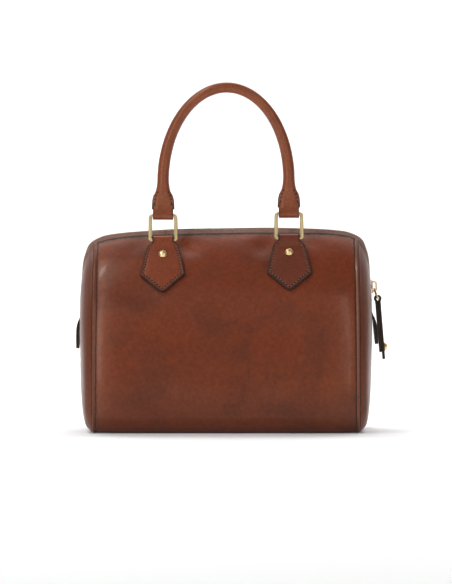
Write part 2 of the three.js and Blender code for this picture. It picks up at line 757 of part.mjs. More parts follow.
// Middle line of a handle: half an oval over two straight legs, as places along the bag and rises.
function handleRoute() {
  const foot = ringPitch + flapDrop;
  const stripRises = [ringPitch + loopRadius + loopWall / 3, foot];
  const strip = stripRises.map((rise) => ({ x: -tabX, rise, strip: true }));
  const leg = flare.slice(0, -1).map((row) => ({ x: -tabX, rise: foot + row.up * flapLength }));
  const arch = Array.from({ length: archSteps + 1 }, (unused, k) => {
    const turn = (k / archSteps) * Math.PI;
    const rise = handleShoulder + (handleRise - handleShoulder) * Math.sin(turn);
    return { x: -tabX * Math.cos(turn), rise };
  });
  const left = [...strip, ...leg];
  const right = left.map((step) => ({ ...step, x: -step.x })).reverse();
  return [...left, ...arch, ...right];
}

// Half width, half thickness and squareness of a handle at one step of its route.
function handleSize({ rise, strip }) {
  if (strip) return { wide: neckWidth / 2 - clearance, thick: loopRadius, square: flatRoll };
  const up = (rise - ringPitch - flapDrop) / flapLength;
  const radius = lerp(legRadius, handleRadius, smoothstep(rise, handleShoulder, handleRise));
  const round = lookUp(flare, "up", up, "round");
  return {
    wide: lerp(flapWidth / 2, radius, lookUp(flare, "up", up, "width")),
    thick: lerp(flapThickness / 2, radius, round),
    square: lerp(flatRoll, oval, round),
  };
}

function handle(face) {
  const route = handleRoute();
  const places = route.map(({ x, rise }) => handlePlace(face, x, rise));
  const rings = route.map((step, i) => {
    const { point, out } = places[i];
    const away = handlePlace(face, step.x, step.rise + 1).point.sub(point).multiplyScalar(-Math.sign(step.x));
    const [before, after] = [places[i - 1], places[i + 1]];
    const way = step.strip ? away : after.point.clone().sub(before.point);
    const { wide, thick, square } = handleSize(step);
    return section(point, way.cross(out).normalize(), out, wide, thick, square, handleSides);
  });
  const loops = [-1, 1].map((side) => {
    const { point, out } = handlePlace(face, side * tabX, ringPitch);
    const away = across.clone().cross(out).multiplyScalar(-1);
    const fold = foldShape(loopRadius, loopWall, flapDrop + loopWall, -loopRadius, loopRadius);
    return placed(plate(fold, neckWidth - 2 * clearance, 0, foldSteps), point, away, out);
  });
  return joined(bar(rings), ...loops);
}

function ring(face, side) {
  const frame = (grow, radius) => {
    const x = neckWidth / 2 + clearance + grow - radius;
    const low = ringWire / 2 - grow + radius;
    const high = ringPitch - ringWire / 2 + grow - radius;
    const corners = [[x, low], [x, high], [-x, high], [-x, low]];
    const shape = new THREE.Shape();
    corners.forEach(([cx, cy], k) => {
      shape.absarc(cx, cy, radius, ((k - 1) * Math.PI) / 2, (k * Math.PI) / 2, false);
    });
    return shape;
  };
  const shape = frame(ringWire, ringCorner);
  shape.holes.push(frame(0, ringCorner / 4));
  const seat = ringSeat(face, side);
  const up = handlePlace(face, side * tabX, ringPitch).point.sub(seat).normalize();
  return placed(plate(shape, ringThickness, ringBevel, 2), seat, across, up);
}

// Domed stud standing on a surface, with its axis along a way out.
function stud(origin, out) {
  const skirt = studHeight / 4;
  const profile = [new THREE.Vector2(0, 0), new THREE.Vector2(studRadius, 0)];
  for (let k = 0; k < studSteps; k++) {
    const turn = (k / studSteps) * (Math.PI / 2);
    const rise = (studHeight - skirt) * Math.sin(turn);
    profile.push(new THREE.Vector2(studRadius * Math.cos(turn), skirt + rise));
  }
  profile.push(new THREE.Vector2(0, studHeight));
  const turn = new THREE.Quaternion().setFromUnitVectors(rearward, out);
  const geometry = new THREE.LatheGeometry(profile, studSides).applyQuaternion(turn);
  return geometry.translate(origin.x, origin.y, origin.z);
}

function tabStud(face, side) {
  const down = tabSeat + studDrop;
  const origin = onWall(face, side * tabX, down, 2 * clearance + tabThickness);
  return stud(origin, wallWays(face, side * tabX, down).out);
}

function pullStud() {
  const origin = pullTop.clone().addScaledVector(pullWay, pullLength - pullStudUp);
  return stud(origin.addScaledVector(pullOut, pullThickness / 2 + clearance), pullOut);
}

const bag = new THREE.Group();

function add(name, geometry, look) {
  const mesh = new THREE.Mesh(geometry, new THREE.MeshStandardMaterial(materials[look]));
  mesh.name = name;
  bag.add(mesh);
}

add("body_wrap", bodyWrap(), "body");
add("zip_tape_front", zipTape(-1), "tape");
add("zip_tape_back", zipTape(1), "tape");
add("zip_chain", zipChain(), "brass");
add("zip_slider", zipSlider(), "brass");
add("slider_link", sliderLink(), "brass");
add("pull_strap", pullStrap(), "trim");
add("pull_stud", pullStud(), "brass");
for (const [side, hand] of [[-1, "left"], [1, "right"]]) {
  add(`end_panel_${hand}`, endPanel(side), "body");
  add(`piping_${hand}`, piping(side), "dark");
  add(`zip_tab_${hand}`, zipCap(side), "dark");
  for (const [face, way] of [[-1, "front"], [1, "back"]]) {
    add(`tab_${way}_${hand}`, handleTab(face, side), "trim");
    add(`ring_${way}_${hand}`, ring(face, side), "brass");
    add(`stud_${way}_${hand}`, tabStud(face, side), "brass");
  }
}
add("handle_front", handle(-1), "handle");
add("handle_back", handle(1), "handle");

export default bag;
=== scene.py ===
# %% [markdown]
# # A leather boston bag
#
# A boston bag is a barrel of leather with two domed ends, closed by a zip that runs over the top and
# down both ends. Two rolled handles hang in metal rings, and each ring hangs in a leather tab that is
# stitched and riveted to the wall.
#
# The solid model settles every size. This lesson loads it as a fixed frame and dresses it: each plain
# solid is replaced by a finer mesh of the same shape, with cut edges, stitches, teeth and wear.

# %% Load the frame
import math

import bmesh
import bpy
import numpy as np
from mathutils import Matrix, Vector, noise


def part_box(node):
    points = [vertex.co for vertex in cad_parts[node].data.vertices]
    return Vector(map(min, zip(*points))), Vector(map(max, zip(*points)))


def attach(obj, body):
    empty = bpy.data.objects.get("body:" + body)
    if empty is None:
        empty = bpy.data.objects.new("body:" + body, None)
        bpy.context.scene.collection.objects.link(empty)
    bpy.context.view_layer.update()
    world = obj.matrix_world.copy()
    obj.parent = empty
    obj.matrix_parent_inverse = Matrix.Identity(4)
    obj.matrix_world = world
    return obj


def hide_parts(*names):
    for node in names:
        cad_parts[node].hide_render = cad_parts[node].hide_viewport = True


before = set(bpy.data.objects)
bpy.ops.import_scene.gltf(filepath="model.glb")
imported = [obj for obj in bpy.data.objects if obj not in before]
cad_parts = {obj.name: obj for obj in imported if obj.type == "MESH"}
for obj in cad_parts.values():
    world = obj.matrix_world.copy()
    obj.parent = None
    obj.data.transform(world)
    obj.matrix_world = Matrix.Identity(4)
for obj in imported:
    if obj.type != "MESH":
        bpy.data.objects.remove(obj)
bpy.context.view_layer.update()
MM = 0.001

# %% [markdown]
# ## Camera, floor and light
#
# A product photo of a bag is taken from far away with a long lens, so that the front stays flat and the
# ends hardly show. A short lens close by would bulge the front, so the camera stands three metres off
# and the lens is worked out from the size of one pixel at the middle of the bag.

# %% Camera
PHOTO_ROWS = 584
PIXEL = 0.965 * MM  # size of one pixel at the middle of the bag
SENSOR = 36.0
CAMERA_DISTANCE = 3.0
CAMERA_HEIGHT = 0.16
AIM = Vector((0.0, 0.0, 0.133))


def aim(thing, target):
    """Turns a camera or a light so that it looks at a point."""
    thing.rotation_euler = (Vector(target) - thing.location).to_track_quat("-Z", "Y").to_euler()


lens = bpy.data.cameras.new("camera")
lens.sensor_width = SENSOR
lens.lens = SENSOR * CAMERA_DISTANCE / (PHOTO_ROWS * PIXEL)
camera = bpy.data.objects.new("camera", lens)
camera.location = (0, -CAMERA_DISTANCE, CAMERA_HEIGHT)
aim(camera, AIM)
bpy.context.scene.collection.objects.link(camera)
bpy.context.scene.camera = camera
bpy.context.scene.view_settings.view_transform = "Standard"
print("lens:", round(lens.lens, 1), "mm")

# %% [markdown]
# Every mesh here is made from lists of points and faces. One helper turns them into an object, makes
# the faces point outwards and shades them smooth, but keeps an edge sharp where two faces meet at a
# steep angle. It can also store one number at each point, for a material to read. Most shapes are rings
# of points one after another, so two small helpers list the faces between such rings. The bag has two
# ends and two walls, so its fittings come in twos and fours, and short lists of the sides name them.

# %% Sides and corners
ENDS = ((-1, "left"), (1, "right"))
WALLS = ((-1, "front"), (1, "back"))
CORNERS = [(face, side, f"{way}_{hand}") for face, way in WALLS for side, hand in ENDS]
ALONG = np.array([1.0, 0, 0])
REARWARD = np.array([0.0, 1.0, 0.0])

# %% Mesh helper
SHARP = math.radians(48)


def ring_faces(index):
    """Faces between rows of point numbers, where each row closes on itself."""
    here, there = index[:-1], index[1:]
    return np.stack([here, np.roll(here, -1, 1), np.roll(there, -1, 1), there], -1).reshape(-1, 4).tolist()


def bar_faces(rows, sides, start=0):
    """Faces of a closed bar through rings of points."""
    index = start + np.arange(rows * sides).reshape(rows, sides)
    return ring_faces(index) + [index[0].tolist(), index[-1].tolist()]


def make_piece(name, points, faces, material=None, marks=None, sharp=SHARP):
    """A smooth mesh object from points and faces; marks are named values at the points."""
    mesh = bpy.data.meshes.new(name)
    mesh.from_pydata(np.asarray(points, float).reshape(-1, 3).tolist(), [], faces)
    for key, values in (marks or {}).items():
        layer = mesh.attributes.new(key, "FLOAT", "POINT")
        layer.data.foreach_set("value", np.asarray(values, np.float32).ravel())
    body = bmesh.new()
    body.from_mesh(mesh)
    bmesh.ops.recalc_face_normals(body, faces=body.faces)
    for edge in body.edges:
        edge.smooth = not edge.is_manifold or edge.calc_face_angle(0) < sharp
    for face in body.faces:
        face.smooth = True
    body.to_mesh(mesh)
    body.free()
    if material:
        mesh.materials.append(material)
    piece = bpy.data.objects.new(name, mesh)
    bpy.context.scene.collection.objects.link(piece)
    return piece


# %% [markdown]
# The floor sweeps up behind the bag in one curve, as a paper backdrop does, so that no line shows
# where floor and wall meet.

# %% Floor
FLOOR_HALF = 5.0
SWEEP_START = 1.6
SWEEP_RADIUS = 1.5
WALL_TOP = 4.0

backdrop = [(-FLOOR_HALF, 0.0), (SWEEP_START, 0.0)]
for turn in np.linspace(0, math.pi / 2, 25)[1:]:
    backdrop.append((SWEEP_START + SWEEP_RADIUS * math.sin(turn), SWEEP_RADIUS * (1 - math.cos(turn))))
backdrop.append((SWEEP_START + SWEEP_RADIUS, WALL_TOP))
paper_points = [(side * FLOOR_HALF, y, z) for y, z in backdrop for side in (-1, 1)]
paper_faces = [(2 * i, 2 * i + 1, 2 * i + 3, 2 * i + 2) for i in range(len(backdrop) - 1)]
floor = make_piece("floor", paper_points, paper_faces)

# %% [markdown]
# The light is that of a studio: a white room behind the bag, tall soft boxes left and right of the camera,
# which draw the long thin lines on the handle, and a broad box high behind the bag. That one lights the
# floor and throws a soft shadow forward without a glare on the front. The room is darker in front of the
# bag, because leather and brass need something dark to reflect.

# %% Node helper
def node(tree, kind, inputs=None, **settings):
    """Adds a node, sets what it is and fills its inputs with values or with other nodes' outputs."""
    made = tree.nodes.new(kind)
    for key, value in settings.items():
        setattr(made, key, value)
    for key, value in (inputs or {}).items():
        if isinstance(value, bpy.types.NodeSocket):
            tree.links.new(value, made.inputs[key])
        else:
            made.inputs[key].default_value = value
    return made


# %% Room light
ROOM_FRONT = 0.22
ROOM_BACK = 1.0
ROOM_STRENGTH = 0.8

world = bpy.data.worlds.new("studio")
bpy.context.scene.world = world
world.use_nodes = True
room = world.node_tree
room.nodes.clear()
direction = node(room, "ShaderNodeTexCoord")
ways = node(room, "ShaderNodeSeparateXYZ", {"Vector": direction.outputs["Generated"]})
shade = node(room, "ShaderNodeMapRange", {
    "Value": ways.outputs["Y"], "From Min": 0.0, "From Max": 0.8, "To Min": ROOM_FRONT, "To Max": ROOM_BACK,
}, interpolation_type="SMOOTHSTEP")
glow = node(room, "ShaderNodeBackground", {"Color": shade.outputs["Result"], "Strength": ROOM_STRENGTH})
node(room, "ShaderNodeOutputWorld", {"Surface": glow.outputs["Background"]})

# %% Soft boxes
# Each row: name, azimuth and elevation from the bag in degrees (azimuth 0 is the camera's side),
# distance, width, height, power, and whether polished things mirror it. The box behind the bag is
# flagged off from the camera, so it lights the floor but draws no glare on the top of the bag.
SOFT_BOXES = [
    ("box_left", -36, 22, 1.9, 0.3, 1.6, 11, True),
    ("box_right", 27, 20, 2.1, 0.28, 1.5, 6, True),
    ("box_high_left", -60, 60, 1.8, 0.14, 0.3, 7, True),
    ("box_behind", 180, 55, 2.2, 2.4, 1.2, 56, False),
    ("box_front", 0, 38, 2.6, 2.2, 1.0, 2, True),
]

for name, azimuth, elevation, distance, width, height, power, mirrored in SOFT_BOXES:
    lamp = bpy.data.lights.new(name, "AREA")
    lamp.shape = "RECTANGLE"
    lamp.size = width
    lamp.size_y = height
    lamp.energy = power
    box = bpy.data.objects.new(name, lamp)
    turn, rise = math.radians(azimuth), math.radians(elevation)
    flat = distance * math.cos(rise)
    box.location = (flat * math.sin(turn), -flat * math.cos(turn), distance * math.sin(rise) + AIM.z)
    aim(box, AIM)
    box.visible_glossy = mirrored
    bpy.context.scene.collection.objects.link(box)
print(len(SOFT_BOXES), "soft boxes")

# %% [markdown]
# The paper behind the bag has its own lamp, as in a studio, so it turns pure white without more light on
# the bag. It shines away from the bag.

# %% Backdrop lamp
lamp = bpy.data.lights.new("backdrop_lamp", "AREA")
lamp.shape = "RECTANGLE"
lamp.size = 4.0
lamp.size_y = 1.0
lamp.energy = 60
backdrop_lamp = bpy.data.objects.new("backdrop_lamp", lamp)
backdrop_lamp.location = (0, 1.3, 2.6)
aim(backdrop_lamp, (0, SWEEP_START + SWEEP_RADIUS, 1.0))
bpy.context.scene.collection.objects.link(backdrop_lamp)

# %% [markdown]
# ## Leather, as a material
#
# Smooth vegetable-tanned leather is dyed by hand and polished, so its colour drifts in soft clouds from
# orange brown to dark red brown, and a very fine grain breaks up the gloss. An image could show that,
# but a procedural material has no seams and works at any distance. Three effects are shared by many
# materials, so each is a node group: the dye, which also paints shade on the leather near the floor,
# the grain, and the dark paint on cut edges.

# %% Node group helper
def new_group(name, inputs, outputs):
    """A shader node group with named sockets; inputs are (name, kind, value)."""
    tree = bpy.data.node_groups.new(name, "ShaderNodeTree")
    for key, kind, value in inputs:
        socket = tree.interface.new_socket(key, in_out="INPUT", socket_type="NodeSocket" + kind)
        socket.default_value = value
    for key, kind in outputs:
        tree.interface.new_socket(key, in_out="OUTPUT", socket_type="NodeSocket" + kind)
    entry = tree.nodes.new("NodeGroupInput")
    leave = tree.nodes.new("NodeGroupOutput")
    return tree, entry.outputs, leave.inputs


def use_group(tree, group, inputs):
    """Places a node group in a material, with its own values."""
    made = node(tree, "ShaderNodeGroup", node_tree=group)
    for key, value in inputs.items():
        if isinstance(value, bpy.types.NodeSocket):
            tree.links.new(value, made.inputs[key])
        else:
            made.inputs[key].default_value = value
    return made.outputs


def maths(tree, operation, first, second=0.0):
    """One step of arithmetic between two values or sockets."""
    made = node(tree, "ShaderNodeMath", operation=operation)
    for place, value in enumerate((first, second)):
        if isinstance(value, bpy.types.NodeSocket):
            tree.links.new(value, made.inputs[place])
        else:
            made.inputs[place].default_value = value
    return made.outputs[0]


def times(tree, first, second):
    """Two values or sockets multiplied."""
    return maths(tree, "MULTIPLY", first, second)


def plus(tree, first, second):
    """Two values or sockets added."""
    return maths(tree, "ADD", first, second)


def ramp(tree, value, low, high, start=0.0, end=1.0):
    """Brings a value from one range to another, smoothly."""
    made = node(tree, "ShaderNodeMapRange", {
        "Value": value, "From Min": low, "From Max": high, "To Min": start, "To Max": end,
    }, interpolation_type="SMOOTHSTEP")
    return made.outputs["Result"]


def blend_colours(tree, share, first, second, way="MIX"):
    """Mixes two colours by a share."""
    made = node(tree, "ShaderNodeMix", data_type="RGBA", blend_type=way)
    for place, value in ((0, share), (6, first), (7, second)):
        if isinstance(value, bpy.types.NodeSocket):
            tree.links.new(value, made.inputs[place])
        else:
            made.inputs[place].default_value = value
    return made.outputs[2]


# %% Hand-dyed leather group, with painted shade near the floor
# Painted shade: below this height the leather's colour is darkened towards the floor, where the wall gets
# less light; this darkening is shade, not dye.
PAINTED_SHADE_HEIGHT = 50 * MM  # leather is darker below this, near the floor

dye_and_painted_shade, given, result = new_group("dye and painted floor shade", [
    ("Colour", "Color", (0.2, 0.06, 0.03, 1)),
    ("Deep", "Color", (0.1, 0.03, 0.02, 1)),
    ("Pale", "Color", (0.25, 0.09, 0.04, 1)),
    ("Cloud Size", "Float", 0.05),
    ("Contrast", "Float", 1.0),
    ("Painted Floor Shade", "Float", 0.0),
], [("Colour", "Color"), ("Deep Mask", "Float")])
place = node(dye_and_painted_shade, "ShaderNodeTexCoord").outputs["Object"]
scale = maths(dye_and_painted_shade, "DIVIDE", 1.0, given["Cloud Size"])
clouds = node(dye_and_painted_shade, "ShaderNodeTexNoise", {
    "Vector": place, "Scale": scale, "Detail": 5.0, "Roughness": 0.58, "Distortion": 0.35,
})
warm = node(dye_and_painted_shade, "ShaderNodeTexNoise", {
    "Vector": place, "Scale": times(dye_and_painted_shade, scale, 0.55), "Detail": 3.0, "Roughness": 0.5,
})
specks = node(dye_and_painted_shade, "ShaderNodeTexNoise", {
    "Vector": place, "Scale": times(dye_and_painted_shade, scale, 14.0), "Detail": 3.0, "Roughness": 0.7,
})
deep_share = times(dye_and_painted_shade, ramp(dye_and_painted_shade, clouds.outputs["Fac"], 0.46, 0.68), given["Contrast"])
pale_share = times(dye_and_painted_shade, ramp(dye_and_painted_shade, warm.outputs["Fac"], 0.48, 0.7), given["Contrast"])
tone = blend_colours(dye_and_painted_shade, pale_share, given["Colour"], given["Pale"])
tone = blend_colours(dye_and_painted_shade, deep_share, tone, given["Deep"])
fleck = ramp(dye_and_painted_shade, specks.outputs["Fac"], 0.3, 0.7, 0.8, 1.14)
tone = blend_colours(dye_and_painted_shade, 1.0, tone, fleck, "MULTIPLY")
# Painted shade: the colour is darkened towards the floor, by the strength given to this group.
height = node(dye_and_painted_shade, "ShaderNodeSeparateXYZ", {"Vector": place}).outputs["Z"]
shade_near_floor = times(dye_and_painted_shade, ramp(dye_and_painted_shade, height, 0.0, PAINTED_SHADE_HEIGHT, 1.0, 0.0), given["Painted Floor Shade"])
tone = blend_colours(dye_and_painted_shade, 1.0, tone, maths(dye_and_painted_shade, "SUBTRACT", 1.0, shade_near_floor), "MULTIPLY")
dye_and_painted_shade.links.new(tone, result["Colour"])
dye_and_painted_shade.links.new(deep_share, result["Deep Mask"])

# %% Leather grain group
leather_grain, given, result = new_group("leather grain", [
    ("Pore Size", "Float", 0.0009),
    ("Crease Size", "Float", 0.012),
    ("Crease Share", "Float", 0.5),
], [("Height", "Float")])
place = node(leather_grain, "ShaderNodeTexCoord").outputs["Object"]
pores = node(leather_grain, "ShaderNodeTexVoronoi", {
    "Vector": place, "Scale": maths(leather_grain, "DIVIDE", 1.0, given["Pore Size"]), "Randomness": 1.0,
})
fine = node(leather_grain, "ShaderNodeTexNoise", {
    "Vector": place, "Scale": maths(leather_grain, "DIVIDE", 2.2, given["Pore Size"]), "Detail": 2.0,
})
creases = node(leather_grain, "ShaderNodeTexNoise", {
    "Vector": place, "Scale": maths(leather_grain, "DIVIDE", 1.0, given["Crease Size"]),
    "Detail": 3.0, "Roughness": 0.55, "Distortion": 0.6,
})
small = plus(leather_grain, pores.outputs["Distance"], times(leather_grain, fine.outputs["Fac"], 0.6))
broad = times(leather_grain, creases.outputs["Fac"], given["Crease Share"])
leather_grain.links.new(plus(leather_grain, times(leather_grain, small, 0.05), broad), result["Height"])

# %% Painted edge group
painted_edge, given, result = new_group("painted edge", [
    ("Colour", "Color", (0.2, 0.06, 0.03, 1)),
    ("Paint", "Color", (0.012, 0.008, 0.007, 1)),
    ("Width", "Float", 0.0004),
], [("Colour", "Color"), ("Mask", "Float")])
# On the body this mark also holds the distance to the end seams, so this group paints the shade in the seam
# grooves as well as the real paint on cut edges.
edge = node(painted_edge, "ShaderNodeAttribute", attribute_name="edge").outputs["Fac"]
wander = node(painted_edge, "ShaderNodeTexNoise", {
    "Vector": node(painted_edge, "ShaderNodeTexCoord").outputs["Object"], "Scale": 420.0, "Detail": 2.0,
})
line = times(painted_edge, given["Width"], ramp(painted_edge, wander.outputs["Fac"], 0.3, 0.7, 0.7, 1.3))
inside = maths(painted_edge, "DIVIDE", edge, line)
mask = ramp(painted_edge, inside, 0.8, 1.3, 1.0, 0.0)
burnish = ramp(painted_edge, inside, 1.0, 3.0, 0.42, 0.0)
shaded = blend_colours(painted_edge, burnish, given["Colour"], given["Paint"])
painted_edge.links.new(blend_colours(painted_edge, mask, shaded, given["Paint"]), result["Colour"])
painted_edge.links.new(mask, result["Mask"])

# %% Leather materials
EDGE_PAINT = (0.02, 0.0135, 0.012, 1)
WARM_GLOSS = (1.0, 0.72, 0.54, 1)  # waxed leather reflects a warmer light than it receives
COAT_ROUGH = 0.12
DEEP_ROUGH = 1.2  # roughness of the deep clouds, as a factor
PAINT_ROUGH = 0.3  # what paint adds to the roughness
CREASE_SHARE = 0.5
GRAIN_BUMP = 0.2
GRAIN_DEPTH = 1.1 * MM
# Each leather: colour, deep and pale tones of its dye, size of its clouds in mm, their contrast,
# roughness, coat, width of its painted edges in mm, and the strength of its painted shade near the floor.
LEATHERS = {
    "body leather": ((0.155, 0.0275, 0.009), (0.098, 0.0175, 0.0072), (0.178, 0.035, 0.011),
                     50, 0.8, 0.36, 0.06, 3, 0.3),
    "end leather": ((0.12, 0.03, 0.014), (0.08, 0.02, 0.01), (0.14, 0.036, 0.016),
                    50, 0.6, 0.36, 0.05, 0.9, 0),
    "piping leather": ((0.135, 0.042, 0.024), (0.09, 0.028, 0.017), (0.16, 0.05, 0.03),
                       30, 0.4, 0.36, 0.05, 0.01, 0),
    "pull leather": ((0.13, 0.036, 0.02), (0.07, 0.022, 0.013), (0.16, 0.05, 0.026),
                     20, 0.6, 0.36, 0.05, 0.6, 0),
    # Painted light: the two tabs are one leather, given a lighter copy on the left and a darker copy on the
    # right for the light that falls on them.
    "tab leather lit left": ((0.187, 0.036, 0.0125), (0.13, 0.024, 0.0095), (0.215, 0.045, 0.0165),
                         30, 0.5, 0.38, 0.04, 1, 0),
    "tab leather shaded right": ((0.133, 0.029, 0.0145), (0.09, 0.021, 0.011), (0.155, 0.036, 0.018),
                          30, 0.5, 0.38, 0.04, 1, 0),
    "cap leather": ((0.03, 0.015, 0.011), (0.018, 0.01, 0.008), (0.04, 0.02, 0.014),
                    20, 0.6, 0.4, 0.05, 0.8, 0),
    "handle leather": ((0.21, 0.055, 0.023), (0.148, 0.037, 0.016), (0.24, 0.066, 0.028),
                       30, 0.6, 0.33, 0.05, 0.55, 0),
}


def new_material(name):
    """An empty material with its own shader and output."""
    material = bpy.data.materials.new(name)
    material.use_nodes = True
    tree = material.node_tree
    tree.nodes.clear()
    shader = tree.nodes.new("ShaderNodeBsdfPrincipled")
    output = tree.nodes.new("ShaderNodeOutputMaterial")
    tree.links.new(shader.outputs["BSDF"], output.inputs["Surface"])
    return material, tree, shader


def leather(name, colour, deep, pale, cloud, contrast, rough, coat, paint, painted_floor_shade):
    """Polished leather with dyed clouds, fine grain, dark painted edges and painted shade near the floor."""
    material, tree, shader = new_material(name)
    dye = use_group(tree, dye_and_painted_shade, {
        "Colour": (*colour, 1), "Deep": (*deep, 1), "Pale": (*pale, 1), "Cloud Size": cloud * MM,
        "Contrast": contrast, "Painted Floor Shade": painted_floor_shade,
    })
    edged = use_group(tree, painted_edge, {
        "Colour": dye["Colour"], "Paint": EDGE_PAINT, "Width": paint * MM,
    })
    grain = use_group(tree, leather_grain, {"Crease Share": CREASE_SHARE})
    gloss = ramp(tree, dye["Deep Mask"], 0.0, 1.0, rough, rough * DEEP_ROUGH)
    tree.links.new(edged["Colour"], shader.inputs["Base Color"])
    tree.links.new(plus(tree, gloss, times(tree, edged["Mask"], PAINT_ROUGH)), shader.inputs["Roughness"])
    relief = node(tree, "ShaderNodeBump", {
        "Strength": GRAIN_BUMP, "Distance": GRAIN_DEPTH, "Height": grain["Height"],
    })
    tree.links.new(relief.outputs["Normal"], shader.inputs["Normal"])
    shader.inputs["Coat Weight"].default_value = coat
    shader.inputs["Coat Roughness"].default_value = COAT_ROUGH
    shader.inputs["Specular IOR Level"].default_value = 0.5
    shader.inputs["Specular Tint"].default_value = WARM_GLOSS
    return material


leathers = {name: leather(name, *row) for name, row in LEATHERS.items()}
print("leather materials:", list(leathers))

# %% [markdown]
# ## Body shape
#
# The wall of a soft bag isn't a box: it bellies out low down, rolls over towards the zip and closes in
# near the end seams. The few sizes below say all of that. They could be read off the solid, but the
# solid is faceted, and a curve through the same rows gives a smooth skin that still fits it.

# %% Body sizes
def middle(name, axis):
    """Middle of a solid along one axis."""
    low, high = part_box(name)
    return (low[axis] + high[axis]) / 2


def span(name, axis):
    """Size of a solid along one axis."""
    low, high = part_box(name)
    return high[axis] - low[axis]


CLEARANCE = 0.3 * MM
LEATHER = 2 * MM
HALF_DEPTH = 74.5 * MM
EDGE_HEIGHT = 190 * MM  # of the front leather edge beside the zip, at mid length
REAR_RISE = 5 * MM
ZIP_GAP = 8.5 * MM  # from mid bag to a leather edge
BASE_CORNER = 16 * MM
END_DROP = 7.8 * MM
END_INSET = 6 * MM
SIDE_RISE = 2 * MM
seam_x = middle("piping_right", 0)
piping_radius = span("piping_right", 0) / 2
wrap_reach = span("body_wrap", 0) / 2

# Side view of a wall: share of the depth outside the zip gap, share of the height over the base corner.
WALL_SHAPE = np.array([
    (1, 0), (1, 0.138), (0.96, 0.368), (0.886, 0.511), (0.764, 0.655),
    (0.582, 0.782), (0.371, 0.887), (0.174, 0.954), (0, 1),
])
# How the body closes in: share of the half length, of the drop of the top edge and of the inset.
END_ROLL = np.array([
    (0, 0, 0), (0.2, 0, 0), (0.38, 0.02, 0), (0.54, 0.06, 0.02), (0.7, 0.15, 0.07),
    (0.82, 0.31, 0.18), (0.91, 0.52, 0.4), (0.97, 0.78, 0.7), (1, 1, 1),
])


def smooth_table(places, values):
    """A curve through a table's rows that never overshoots them."""
    places, values = np.asarray(places, float), np.asarray(values, float)
    slopes = np.diff(values) / np.diff(places)
    tangents = np.zeros(len(places))
    both = slopes[:-1] + slopes[1:]
    same = slopes[:-1] * slopes[1:] > 0
    tangents[1:-1][same] = 2 * (slopes[:-1] * slopes[1:])[same] / both[same]
    tangents[0], tangents[-1] = slopes[0], slopes[-1]

    def at(place):
        place = np.clip(place, places[0], places[-1])
        i = np.clip(np.searchsorted(places, place, side="right") - 1, 0, len(places) - 2)
        width = places[i + 1] - places[i]
        t = (place - places[i]) / width
        ahead, behind = t * t * (3 - 2 * t), (1 - t) ** 2
        lifts = t * behind * tangents[i] - t * t * (1 - t) * tangents[i + 1]
        return (1 - ahead) * values[i] + ahead * values[i + 1] + width * lifts

    return at


drop_share = smooth_table(END_ROLL[:, 0], END_ROLL[:, 1])
inset_share = smooth_table(END_ROLL[:, 0], END_ROLL[:, 2])


def body_size(x, face):
    """Half depth, height of the leather edge and lift of the base at places along the bag."""
    along = np.minimum(1, np.abs(x) / seam_x)
    rear = REAR_RISE * (1 - along**4) if face > 0 else 0
    depth = HALF_DEPTH - END_INSET * inset_share(along)
    top = EDGE_HEIGHT - END_DROP * drop_share(along) + SIDE_RISE * x / seam_x + rear
    return depth, top, 1.0 * MM * inset_share(along)


print("seams at", round(seam_x / MM, 1), "mm; body to", round(wrap_reach / MM, 1), "mm")

# %% Wall curves
WALL_POINTS = 120
CORNER_POINTS = 20

chords = np.hypot(*np.diff(WALL_SHAPE * [HALF_DEPTH, EDGE_HEIGHT], axis=0).T)
wall_along = np.concatenate([[0], np.cumsum(chords)]) / chords.sum()
wall_depth = smooth_table(wall_along, WALL_SHAPE[:, 0])
wall_height = smooth_table(wall_along, WALL_SHAPE[:, 1])


def profile(x, face):
    """Side views of a wall, from its leather edge to the middle of the base: depths and heights."""
    depth, top, base = (np.reshape(v, (-1, 1)) for v in body_size(np.atleast_1d(x), face))
    down = np.linspace(1, 0, WALL_POINTS)
    foot = base + BASE_CORNER
    wall_out = ZIP_GAP + wall_depth(down) * (depth - ZIP_GAP)
    wall_up = foot + wall_height(down) * (top - foot)
    turn = np.linspace(math.pi / 2, 0, CORNER_POINTS)[1:]
    corner_out = depth - BASE_CORNER + BASE_CORNER * np.sin(turn)
    corner_up = base + BASE_CORNER * (1 - np.cos(turn))
    return np.hstack([wall_out, corner_out, 0 * base]), np.hstack([wall_up, corner_up, base])


def along_profile(x, face, down, lift=0.0):
    """Points at distances down from the leather edge, off the leather by lift, and the ways out."""
    x, down, lift = np.broadcast_arrays(*(np.asarray(v, float) for v in (x, down, lift)))
    shape = x.shape
    x, down, lift = x.ravel(), down.ravel(), lift.ravel()
    out, up = profile(x, face)
    steps = np.hypot(np.diff(out), np.diff(up))
    run = np.hstack([np.zeros((len(x), 1)), np.cumsum(steps, axis=1)])
    i = np.clip((run <= down[:, None]).sum(axis=1) - 1, 0, run.shape[1] - 2)
    row = np.arange(len(x))
    share = (down - run[row, i]) / steps[row, i]
    place = [v[row, i] + share * (v[row, i + 1] - v[row, i]) for v in (out, up)]
    before, after = np.maximum(i - 1, 0), np.minimum(i + 2, run.shape[1] - 1)
    slope = [v[row, after] - v[row, before] for v in (out, up)]
    length = np.hypot(*slope)
    way_out, way_up = -slope[1] / length, slope[0] / length
    points = np.stack([x, face * (place[0] + way_out * lift), place[1] + way_up * lift], -1)
    ways = np.stack([0 * x, face * way_out, way_up], -1)
    return points.reshape(*shape, 3), ways.reshape(*shape, 3)


out, up = profile(0.0, -1)
half_girth = np.hypot(np.diff(out), np.diff(up)).sum()
print("from a leather edge to the middle of the base:", round(half_girth / MM), "mm")

